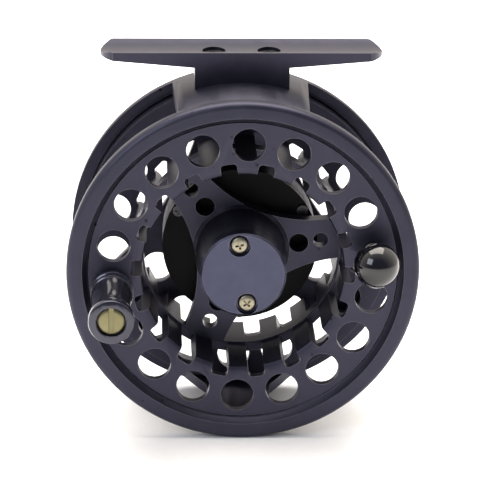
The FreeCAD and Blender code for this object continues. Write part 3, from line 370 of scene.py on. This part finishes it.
# The arms are what three round windows leave of a disc, inside a narrow ring; each arm has a large
# and a small hole.
arms = lathe("arms", [
    (clip_well, hub_seat), (hub_face, hub_seat), (hub_base, arm_front - hub_fillet),
    (hub_base + hub_fillet, arm_front), (arbor_bore + arm_overlap, arm_front),
    (arbor_bore + arm_overlap, arm_back), (hub_tail, arm_back),
    (hub_tail, hub_back), (hub_bore, hub_back), (hub_bore, clutch_front),
    (bushing_bore, clutch_front), (bushing_bore, clip_depth), (clip_well, clip_depth)],
    steps=176, ring=True)
between_arms = weight_angle + 180.0 / arm_count
window = rod("window", window_radius, arm_front - past, arm_back + past,
             round_place(window_place, between_arms), steps=180)
reach = rod("reach", arm_ring, arm_front - 2 * past, arm_back + 2 * past, steps=170)
combine(window, reach, "INTERSECT")
combine(arms, repeat_round(window, arm_count), "DIFFERENCE")
for hole_place, radius in arm_holes:
    hole = rod("arm_hole", radius, arm_front - past, arm_back + past,
               round_place(hole_place, weight_angle))
    combine(arms, repeat_round(hole, arm_count), "DIFFERENCE")
combine(spool, arms, "UNION")

# Slots between the holes run through the arbor's wall in front of the arms and behind them.
for start, end in ((-past, arm_front - slot_gap), (arm_back + slot_gap, arbor_end + past)):
    slot = block("slot", (arbor_bore - past, start, -slot_half), (slot_end, end, slot_half))
    pick(slot, lambda centre, normal: normal.x > 0.9)
    bpy.ops.mesh.select_mode(type="EDGE")
    bpy.ops.mesh.bevel(offset=slot_rounding, segments=4, affect="EDGES")
    done()
    slot = swing(slot, first_place + place_step / 2)
    combine(spool, repeat_round(slot, place_count), "DIFFERENCE")

# Pierced places: all eighteen in the rear flange, sixteen in the front one, which keeps two for
# the handle's post and its counterweight's screw.
rear_hole = rod("rear_hole", hole_radius, rear_front - past, rear_back + past,
                round_place(place_radius, first_place))
combine(spool, repeat_round(rear_hole, place_count), "DIFFERENCE")
for angle, radius in ((handle_angle, handle_bolt), (weight_angle, weight_bolt)):
    front_hole = rod("front_hole", hole_radius, -past, flange_back + past,
                     round_place(place_radius, angle + place_step))
    combine(spool, repeat_round(front_hole, place_count // 2 - 1, place_step), "DIFFERENCE")
    bore = rod("bore", radius, -past, flange_back + past, round_place(place_radius, angle))
    combine(spool, bore, "DIFFERENCE")

# Click notches round the hub's tail.
notch = block("notch", (hub_bore - past, hub_back - notch_depth, -notch_half),
              (hub_tail + past, hub_back + past, notch_half))
combine(spool, repeat_round(swing(notch, first_notch), notch_count), "DIFFERENCE")
round_edges(spool, width=0.22)
set_down(spool, "spool", gunmetal_cast, "gunmetal_cast", "spool")


# ---- frame casting ---------------------------------------------------------------------------
# One aluminium die casting: the ring round the spool's rear lip, the pierced back plate with the
# drag housing, the bridge under the foot and the pillar below.  It is shot-blasted and sprayed
# like the spool, so small pits stay in the skin and its edges are a little rubbed; their lighter
# tone is also a painted highlight.


def dress(node, finish):
    """Gives a CAD piece its finish."""
    slots = frame["nodes"][node].data.materials
    slots.clear()
    slots.append(finish)


def ease_edges(node, width):
    """Rounds a CAD piece's sharp edges with live modifiers, so that they catch the light."""
    item = frame["nodes"][node]
    weld = item.modifiers.new("weld", "WELD")
    weld.merge_threshold = 0.001 * MM
    rounding = item.modifiers.new("rounding", "BEVEL")
    rounding.width = width
    rounding.segments = 2
    rounding.angle_limit = math.radians(35.0)
    rounding.harden_normals = True


dress("frame", gunmetal_cast)
ease_edges("frame", 0.3 * MM)


# ---- reel foot -------------------------------------------------------------------------------
# The T that a rod's reel seat clamps: milled from aluminium bar, saddle-topped, with ramped rounded
# ends on a pedestal that is arched to sit on the frame's bridge.  Two socket screws hold it there.


def metal(name, dark, light, roughness, spread=0.12, metallic=1.0, coat=0.0, edge_wear_and_highlight_tone=None):
    """A machined metal: clouds of tone, fine grain in its polish and, if wanted, rubbed edges with a
    painted highlight.
    """
    material, shader, place = new_finish(name, metallic, coat)
    cloud = noise(place, 260.0, detail=4.0, roughness=0.6)
    grain = noise(place, 3000.0, detail=2.0)
    colour = blend_colours(cloud, dark, light)
    # Lighter edges in the base colour: partly rubbed wear, partly a painted highlight.
    if edge_wear_and_highlight_tone:
        colour = blend_colours(edges_of(place, 0.15 * MM) * 0.55, colour, edge_wear_and_highlight_tone)
    colour.feed(shader, "Base Color")
    (roughness + spread * (cloud - 0.5) + 0.05 * grain).feed(shader, "Roughness")
    bump(grain, strength=0.15, distance=0.02 * MM).feed(shader, "Normal")
    return material


# Its lighter edges are partly rubbed wear, partly a painted highlight.
gunmetal_turned = metal("turned_gunmetal", (0.030, 0.030, 0.048), (0.052, 0.050, 0.074), 0.32,
                        metallic=0.85, edge_wear_and_highlight_tone=(0.30, 0.29, 0.32))

ring_radius = 41.3
foot_front, foot_depth, foot_tip = 20.5, 14.3, 34.0
foot_top, tip_thickness, root_thickness, end_radius = ring_radius + 7.45, 1.8, 3.7, 9.8
pedestal_half, pedestal_depth = 11.35, 13.6
saddle_radius, saddle_sag, saddle_reach = 18.0, 1.2, 80.0
foot_middle = foot_front + foot_depth / 2
foot_screw_place, foot_screw_head, foot_screw_height, foot_screw_shank = 6.65, 2.7, 1.7, 1.5
under_foot = 30.0  # a height well below the arch, where upright cutters start


def upright(name, radius, bottom, top, x, y, steps=64):
    """A plain upright cylinder, to cut or join with."""
    bpy.ops.object.select_all(action="DESELECT")
    bpy.ops.mesh.primitive_cylinder_add(vertices=steps, radius=radius, depth=top - bottom,
                                        location=(x, y, (bottom + top) / 2))
    return named(name)


foot_root = foot_top - root_thickness
foot = block("reel_foot_bar", (-pedestal_half, foot_front, foot_root),
             (pedestal_half, foot_front + foot_depth, foot_top))
for side in (-1, 1):
    pick(foot, lambda centre, normal: normal.x * side > 0.9)
    bpy.ops.mesh.extrude_region_move(
        TRANSFORM_OT_translate={"value": (side * (foot_tip - pedestal_half), 0, 0)})
    bpy.ops.transform.resize(value=(1, 1, tip_thickness / root_thickness),
                             center_override=(0, 0, foot_top))
    done()
combine(foot, block("pedestal", (-pedestal_half, foot_front, ring_radius - 5),
                    (pedestal_half, foot_front + pedestal_depth, foot_root + 1)), "UNION")
arch = rod("arch", ring_radius, foot_front - past, foot_front + foot_depth + past, steps=360)
combine(foot, arch, "DIFFERENCE")
end_place = foot_tip - end_radius
plan = block("foot_plan", (-end_place, foot_front - past, under_foot),
             (end_place, foot_front + foot_depth + past, foot_top + past))
for side in (-1, 1):
    end = upright("foot_end", end_radius, under_foot, foot_top + past, side * end_place, foot_middle,
                  steps=128)
    combine(plan, end, "UNION")
combine(foot, plan, "INTERSECT")
bpy.ops.object.select_all(action="DESELECT")
bpy.ops.mesh.primitive_cylinder_add(vertices=256, radius=saddle_radius, depth=saddle_reach,
                                    location=(0, foot_middle, foot_top - saddle_sag + saddle_radius),
                                    rotation=(0, math.pi / 2, 0))
combine(foot, named("saddle"), "DIFFERENCE")
foot_seat = foot_top - saddle_sag - foot_screw_height - 0.5
for side in (-1, 1):
    x = side * foot_screw_place
    well = upright("well", foot_screw_head + 0.15, foot_seat, foot_top + 2 * past, x, foot_middle)
    bore = upright("bore", foot_screw_shank + 0.1, under_foot, foot_top, x, foot_middle)
    combine(foot, well, "DIFFERENCE")
    combine(foot, bore, "DIFFERENCE")
round_edges(foot, width=0.3)
set_down(foot, "frame", gunmetal_turned, "gunmetal_turned", "reel_foot")

# ---- foot screws -----------------------------------------------------------------------------
# Two blackened steel socket-head cap screws, sunk in the foot and tapped into the bridge.  Each is
# headed and threaded from bar, with a six-sided socket for the key.

black_steel = metal("black_steel", (0.03, 0.03, 0.035), (0.07, 0.07, 0.075), 0.35)

for side in (-1, 1):
    x = side * foot_screw_place
    screw = upright(f"foot_screw_{'left' if side < 0 else 'right'}", foot_screw_head, foot_seat,
                    foot_seat + foot_screw_height, x, foot_middle)
    shank = upright("shank", foot_screw_shank, ring_radius - 2.7, foot_seat + 0.5, x, foot_middle)
    combine(screw, shank, "UNION")
    socket = upright("socket", foot_screw_head * 0.5, foot_seat + 0.6, foot_top, x, foot_middle, 6)
    combine(screw, socket, "DIFFERENCE")
    round_edges(screw, width=0.12, segments=2)
    set_down(screw, "frame", black_steel, "black_steel", "foot_screws")


# ---- hub cap ---------------------------------------------------------------------------------
# A thick turned aluminium disc over the spindle's end, screwed to the hub; lifting it lets the
# spool come off.  Its face is skimmed flat and the rim is chamfered, then it is dyed gunmetal.
# Its tone, lighter and bluer than the other turned gunmetal, is a painted sheen, and its lighter
# edges are a painted highlight.

# A lighter, bluer copy of the turned gunmetal: painted sheen on the face, painted highlight on the edges.
cap_gunmetal_painted_sheen = metal("skimmed_gunmetal_painted_sheen", (0.040, 0.043, 0.072), (0.066, 0.070, 0.108), 0.28,
                     metallic=0.9, edge_wear_and_highlight_tone=(0.32, 0.32, 0.38))

cap_front, cap_back, cap_edge = -0.7, 3.8, 0.5
cap_screw_place, cap_screw_angles = hub_face - 2.95, (97.5, 277.5)
cap_well_radius, cap_well_depth, cap_screw_shank = 2.65, 1.6, 1.25
hollow_radius, hollow_depth = 4.5, 1.4

cap = lathe("hub_cap_disc", [
    (hub_face - cap_edge, cap_front), (hub_face, cap_front + cap_edge), (hub_face, cap_back),
    (hollow_radius, cap_back), (hollow_radius, cap_back - hollow_depth)])
for angle in cap_screw_angles:
    place = round_place(cap_screw_place, angle)
    bore = rod("bore", cap_screw_shank, cap_front - past, cap_back + past, place)
    well = rod("well", cap_well_radius, cap_front - past, cap_front + cap_well_depth, place)
    combine(cap, bore, "DIFFERENCE")
    combine(cap, well, "DIFFERENCE")
round_edges(cap, width=0.12, clear=False)
set_down(cap, "spool", cap_gunmetal_painted_sheen, "gunmetal_turned", "hub_cap")

# ---- cap screws ------------------------------------------------------------------------------
# Two nickel-plated machine screws with low domed heads and crossed driver recesses.  They hold
# the hub cap down, with their heads sunk in its two wells.

nickel_screw = metal("nickel_plate", (0.24, 0.22, 0.16), (0.38, 0.35, 0.26), 0.34, spread=0.2)

screw_head, head_height, screw_reach = 2.18, 1.2, 4.5
cross_half, cross_width_half, cross_depth = 1.35, 0.3, 0.75
seat = cap_front + cap_well_depth
top = seat - head_height
for name, angle, turned_by in zip(("upper", "lower"), cap_screw_angles, (12.0, 40.0)):
    place = round_place(cap_screw_place, angle)
    screw = lathe("cap_screw_" + name, [
        (0.9, top), (1.5, top + 0.08), (1.9, top + 0.25), (screw_head, top + 0.6), (screw_head, seat),
        (cap_screw_shank, seat), (cap_screw_shank, cap_back + screw_reach)], place, steps=72)
    for quarter in (0.0, 90.0):
        blade = block("blade", (-cross_half, top - past, -cross_width_half),
                      (cross_half, top + cross_depth, cross_width_half))
        pick(blade, lambda centre, normal: normal.y > 0.9)
        bpy.ops.transform.resize(value=(0.55, 1, 0.7), center_override=(0, 0, 0))
        done()
        edit(blade)
        bpy.ops.transform.rotate(value=math.radians(turned_by + quarter), orient_axis="Y",
                                 center_override=(0, 0, 0))
        bpy.ops.transform.translate(value=(place[0], 0, place[1]))
        done()
        combine(screw, blade, "DIFFERENCE")
    round_edges(screw, width=0.06, segments=2, sharpest=40.0)
    set_down(screw, "spool", nickel_screw, "nickel_screw", "cap_screws")


# ---- winding handle --------------------------------------------------------------------------
# A knob turned from aluminium rod with two grooves by its foot, a slight waist and a flared end,
# glossy gunmetal.  It spins on a stainless post that is riveted in the flange; a slotted brass
# screw with a washer, sunk in the knob's end, keeps it on.

# Its light edge tone is partly rubbed wear, partly a painted highlight along the knob's rounded edges.
gloss_gunmetal = metal("gloss_gunmetal", (0.030, 0.030, 0.045), (0.050, 0.050, 0.070), 0.14,
                       spread=0.06, metallic=0.7, coat=0.4, edge_wear_and_highlight_tone=(0.40, 0.40, 0.46))
stainless = metal("stainless", (0.42, 0.42, 0.43), (0.62, 0.62, 0.62), 0.28, spread=0.15)
olive_brass = metal("olive_brass", (0.13, 0.12, 0.06), (0.26, 0.24, 0.14), 0.36, spread=0.2)

handle_place = round_place(place_radius, handle_angle)
handle_radius, handle_length, handle_bore, recess_radius = 5.15, 23.3, 2.05, 3.45
heel_radius, waist_radius, flare_radius = handle_radius - 0.2, handle_radius - 0.78, handle_radius + 0.2
waist_start, waist_length, flare_start, flare_length = 5.6, 9.4, 16.2, 5.2
recess_floor = handle_length - 2.4


def standing(name, corners, place, steps=128, ring=False):
    """A turned piece on the flange's face; its (radius, height) corners rise towards the angler."""
    return lathe(name, [(radius, face_depth - height) for radius, height in corners], place, steps, ring)


def eased_run(first, last, start, length, steps=8):
    """Corners that leave the first radius smoothly and come smoothly to the last."""
    shares = [step / steps for step in range(steps + 1)]
    return [(first + (last - first) * (1 - math.cos(math.pi * share)) / 2, start + length * share)
            for share in shares]


groove = handle_radius - 0.5
grooved = [(handle_bore, 0.3), (handle_radius - 0.3, 0.3), (handle_radius, 0.6), (handle_radius, 2.3),
           (groove, 2.6), (groove, 3.1), (handle_radius - 0.1, 3.4), (handle_radius - 0.1, 4.5),
           (groove, 4.8), (groove, 5.3)]
waist = eased_run(heel_radius, waist_radius, waist_start, waist_length)
flare = eased_run(waist_radius, flare_radius, flare_start, flare_length)
mouth = [(flare_radius, handle_length - 0.6), (handle_radius + 0.05, handle_length - 0.2),
         (handle_radius - 0.4, handle_length), (recess_radius + 0.15, handle_length),
         (recess_radius, handle_length - 0.2), (recess_radius, recess_floor), (handle_bore, recess_floor)]
handle = standing("handle_grip", grooved + waist + flare + mouth, handle_place, ring=True)
round_edges(handle, width=0.09, sharpest=24.0)
set_down(handle, "handle", gloss_gunmetal, "gloss_gunmetal", "handle_knob")

washer_bore, washer_radius, washer_seat = 1.1, 3.2, recess_floor + 0.1
head_seat, head_top = washer_seat + 0.4, washer_seat + 0.4 + 1.3
washer = standing("handle_end_washer", [
    (washer_bore, washer_seat), (washer_radius, washer_seat), (washer_radius, head_seat),
    (washer_bore, head_seat)], handle_place, steps=96, ring=True)
round_edges(washer, width=0.06, segments=2)
set_down(washer, "spool", stainless, "stainless", "handle_washer")

shank_radius, shank_length, driver_half, driver_depth = 0.99, 5.7, 0.6, 0.7
screw = standing("handle_end_screw", [
    (shank_radius, washer_seat - shank_length), (shank_radius, head_seat), (washer_radius, head_seat),
    (washer_radius, head_top - 0.3), (2.9, head_top - 0.08), (2.3, head_top)], handle_place, steps=96)
across, height = handle_place
slot = block("slot", (across - driver_half, face_depth - head_top - past, height - 4),
             (across + driver_half, face_depth - head_top + driver_depth, height + 4))
combine(screw, slot, "DIFFERENCE")
round_edges(screw, width=0.07, segments=2)
set_down(screw, "spool", olive_brass, "nickel_screw", "handle_screw")

# ---- counterweight ---------------------------------------------------------------------------
# A polished black ball on a short neck, opposite the handle, so that the spool spins without
# shaking.  A nickel-plated screw from behind the flange holds it.

gloss_black = metal("gloss_black", (0.002, 0.002, 0.003), (0.006, 0.006, 0.008), 0.07, spread=0.03,
                    metallic=0.2, coat=0.5)

weight_place = round_place(place_radius, weight_angle)
ball_radius, ball_height, neck_radius = 5.4, 8.04, 3.4
ball_top, ball_steps = math.radians(86.0), 48
meeting = -math.acos(neck_radius / ball_radius)  # the angle at which the ball meets its neck
turns = [meeting + (ball_top - meeting) * step / ball_steps for step in range(ball_steps + 1)]
ball = [(ball_radius * math.cos(turn), ball_height + ball_radius * math.sin(turn)) for turn in turns]
weight = standing("counterweight_ball", [
    (weight_bolt, 4.3), (weight_bolt, 0.0), (neck_radius - 0.2, 0.0), (neck_radius, 0.2)] + ball,
    weight_place, steps=96)
round_edges(weight, width=0.15)
set_down(weight, "spool", gloss_black, "gloss_black", "counterweight")

screw = standing("counterweight_screw_rear", [
    (1.49, 4.0), (1.49, -2.0), (2.9, -2.0), (2.9, -2.6), (2.4, -2.9)], weight_place, steps=64)
round_edges(screw, width=0.08, segments=2)
set_down(screw, "spool", nickel_screw, "nickel_screw", "counterweight_screw")


# ---- drag knob -------------------------------------------------------------------------------
# A cup-shaped aluminium knob behind the frame with twelve finger scallops, dyed gunmetal.  It
# turns the drag nut through the insert in its roof; dimples on its rim click over a sprung ball.

knob_front, knob_back, knob_taper, knob_bevel = 38.3, 47.2, 0.8, 0.8
knob_radius, cavity_radius, cavity_end, roof_back = 18.0, 14.2, 43.0, 45.6
insert_radius, well_radius = 6.0, 4.8
knob_height = knob_back - knob_front
grip_count, scallop_radius, scallop_place = 12, 2.6, 19.7
dimple_radius, dimple_place, dimple_depth = 0.8, 16.4, 0.45

knob = lathe("drag_knob_cup", [
    (cavity_radius, knob_front), (knob_radius, knob_front), (knob_radius, knob_front + 0.3 * knob_height),
    (knob_radius - 0.87 * knob_taper, knob_back - knob_bevel),
    (knob_radius - knob_taper - knob_bevel, knob_back), (well_radius, knob_back),
    (well_radius, roof_back), (insert_radius, roof_back), (insert_radius, cavity_end),
    (cavity_radius, cavity_end)], steps=176, ring=True)
scallop = rod("scallop", scallop_radius, knob_front - past, knob_back + past,
              round_place(scallop_place, 180.0 / grip_count), steps=96)
combine(knob, repeat_round(scallop, grip_count), "DIFFERENCE")
dimple = rod("dimple", dimple_radius, knob_front - past, knob_front + dimple_depth,
             round_place(dimple_place, 0.0), steps=32)
combine(knob, repeat_round(dimple, grip_count), "DIFFERENCE")
round_edges(knob, width=0.35)
set_down(knob, "drag_knob", gunmetal_turned, "gunmetal_turned", "drag_knob")

# ---- knob screw ------------------------------------------------------------------------------
# A slotted pan-head screw of blackened steel, turned from bar.  It goes into the spindle's rear
# end and keeps the knob on.

pan_radius, pan_seat = 4.4, roof_back + 0.05
screw = lathe("drag_knob_screw", [
    (1.5, pan_seat - 3.6), (1.5, pan_seat), (pan_radius, pan_seat), (pan_radius, pan_seat + 0.8),
    (pan_radius - 0.25, pan_seat + 1.1), (pan_radius - 0.9, pan_seat + 1.3)], steps=96)
slot = block("slot", (-6, pan_seat + 0.6, -0.5), (6, pan_seat + 4, 0.5))
combine(screw, slot, "DIFFERENCE")
round_edges(screw, width=0.08, segments=2)
set_down(screw, "frame", black_steel, "black_steel", "knob_screw")


# ---- drag, bearings and clicks ---------------------------------------------------------------
# The pieces inside the frame's housing: a stainless spindle, oiled bronze bushings, a roller
# clutch in a nylon cage, cork-faced brake discs, a spring and a brass thrust nut.  They are turned
# or stamped as plain shapes, so the CAD pieces stay and only get their finishes.

# Its slightly lighter edges are partly rubbed wear, partly a painted highlight.
black_anodised = metal("black_anodised", (0.002, 0.002, 0.003), (0.005, 0.005, 0.006), 0.5,
                       spread=0.1, metallic=0.8, edge_wear_and_highlight_tone=(0.03, 0.03, 0.035))


def cork_composite():
    """Cork crumbs bound with rubber."""
    material, shader, place = new_finish("cork_composite", 0.0)
    crumbs = place.node("ShaderNodeTexVoronoi", {}, {"Vector": place, "Scale": 900.0})
    shade = noise(place, 700.0, detail=4.0, roughness=0.7)
    gaps = ramp(crumbs, (0.2, 0.0), (0.6, 1.0))
    colour = blend_colours(gaps, (0.36, 0.23, 0.12), (0.16, 0.09, 0.05))
    blend_colours(shade * 0.5, colour, (0.46, 0.32, 0.18)).feed(shader, "Base Color")
    (0.75 + 0.2 * shade).feed(shader, "Roughness")
    bump(crumbs, strength=0.4, distance=0.05 * MM).feed(shader, "Normal")
    return material


inside_finishes = {
    cork_composite(): ("friction_disc_front", "friction_disc_rear"),
    stainless: ("spindle", "spindle_nut", "clutch_shell", "clutch_rollers", "drag_rotor", "pressure_plate",
                "pressure_pins", "detent_ball", "click_plunger", "handle_post"),
    metal("spring_steel", (0.26, 0.26, 0.27), (0.40, 0.40, 0.41), 0.36):
        ("spool_clip", "drag_spring", "detent_spring", "click_spring"),
    metal("oiled_bronze", (0.30, 0.18, 0.08), (0.48, 0.32, 0.16), 0.40):
        ("spool_bushing", "rotor_bushings"),
    metal("turned_brass", (0.46, 0.34, 0.15), (0.62, 0.48, 0.24), 0.28): ("thrust_nut", "knob_insert"),
    metal("nylon", (0.05, 0.05, 0.05), (0.09, 0.09, 0.09), 0.55, metallic=0.0): ("clutch_cage",),
    metal("nitrile_rubber", (0.012, 0.012, 0.012), (0.026, 0.026, 0.026), 0.62, metallic=0.0):
        ("drag_seal",),
    black_anodised: ("drag_cover",),
    black_steel: ("cover_screws",),
}
for finish, nodes in inside_finishes.items():
    for node in nodes:
        dress(node, finish)
ease_edges("drag_cover", 0.2 * MM)
ease_edges("cover_screws", 0.1 * MM)


# ---- floor, light and camera -----------------------------------------------------------------
# The reel stands on a plain pale paper table.  Three softboxes light it: a broad warm one overhead,
# one for the table behind, and a cooler one on the left of the angler's side.

floor_size = 6.0
bpy.ops.object.select_all(action="DESELECT")
bpy.ops.mesh.primitive_plane_add(size=floor_size, location=(0, 0, cad_box[0][2]))
floor = bpy.context.object
floor.name = "floor"


def pale_paper():
    material, shader, place = new_finish("pale_paper", 0.0)
    fibre = noise(place, 500.0)
    blend_colours(fibre, (0.86, 0.86, 0.86), (0.92, 0.92, 0.92)).feed(shader, "Base Color")
    (0.85 + 0.1 * fibre).feed(shader, "Roughness")
    return material


floor.data.materials.append(pale_paper())

# The room is bright and a little warm behind the reel and above it, and darker on the angler's side.
world = bpy.data.worlds.new("studio")
world.use_nodes = True
room = world.node_tree.nodes["Background"]
way = Wire(world.node_tree, world.node_tree.nodes.new("ShaderNodeTexCoord").outputs["Generated"])
depth_way = way.node("ShaderNodeSeparateXYZ", {}, {"Vector": way}, output=1)
height_way = way.node("ShaderNodeSeparateXYZ", {}, {"Vector": way}, output=2)
behind = ramp(0.5 + 0.5 * depth_way, (0.15, 0.0), (0.62, 1.0))
above = ramp(height_way, (0.25, 0.0), (0.9, 1.0))
blend_colours(behind, (0.16, 0.18, 0.24), (1.30, 1.20, 1.10)).feed(room, "Color")
(1.0 + 0.35 * above).feed(room, "Strength")
bpy.context.scene.world = world
bpy.context.scene.view_settings.view_transform = "Standard"


def softbox(name, place, aim, size, power, colour):
    lamp = bpy.data.lights.new(name, "AREA")
    lamp.shape = "RECTANGLE"
    lamp.size, lamp.size_y = size
    lamp.energy = power
    lamp.color = colour
    holder = bpy.data.objects.new(name, lamp)
    bpy.context.collection.objects.link(holder)
    holder.location = place
    holder.rotation_euler = (aim - Vector(place)).to_track_quat("-Z", "Y").to_euler()
    return holder


softbox("overhead", (0.0, 0.12, 0.70), axle, (0.8, 0.6), 9.0, (1.0, 0.94, 0.86))
table_light = softbox("rear_floor", (0.0, 0.45, 0.35), Vector((0.0, 0.04, cad_box[0][2])), (0.6, 0.3), 4.0,
                      (1.0, 1.0, 1.0))
table_light.visible_glossy = False
softbox("front_left", (-0.55, -0.60, 0.45), axle, (0.45, 0.45), 3.0, (0.86, 0.92, 1.0))

view_azimuth, view_elevation, view_roll = (math.radians(a) for a in (-2.142, 18.325, 0.642))
view_distance = 650.0 * MM
view_across, view_up = -0.776 * MM, 8.147 * MM
back = Vector((math.sin(view_azimuth) * math.cos(view_elevation),
               -math.cos(view_azimuth) * math.cos(view_elevation), math.sin(view_elevation)))
level = Vector((math.cos(view_azimuth), math.sin(view_azimuth), 0.0))
rise = back.cross(level)
right = level * math.cos(view_roll) + rise * math.sin(view_roll)
up = rise * math.cos(view_roll) - level * math.sin(view_roll)
lens = bpy.data.cameras.new("camera")
lens.sensor_width = 36.0
lens.lens = 205.725
lens.clip_start = 0.01
camera = bpy.data.objects.new("camera", lens)
bpy.context.collection.objects.link(camera)
camera.location = axle + right * view_across + up * view_up + back * view_distance
turn = camera.rotation_euler.to_matrix()
turn.col[0], turn.col[1], turn.col[2] = right, up, back
camera.rotation_euler = turn.to_euler()
bpy.context.scene.camera = camera
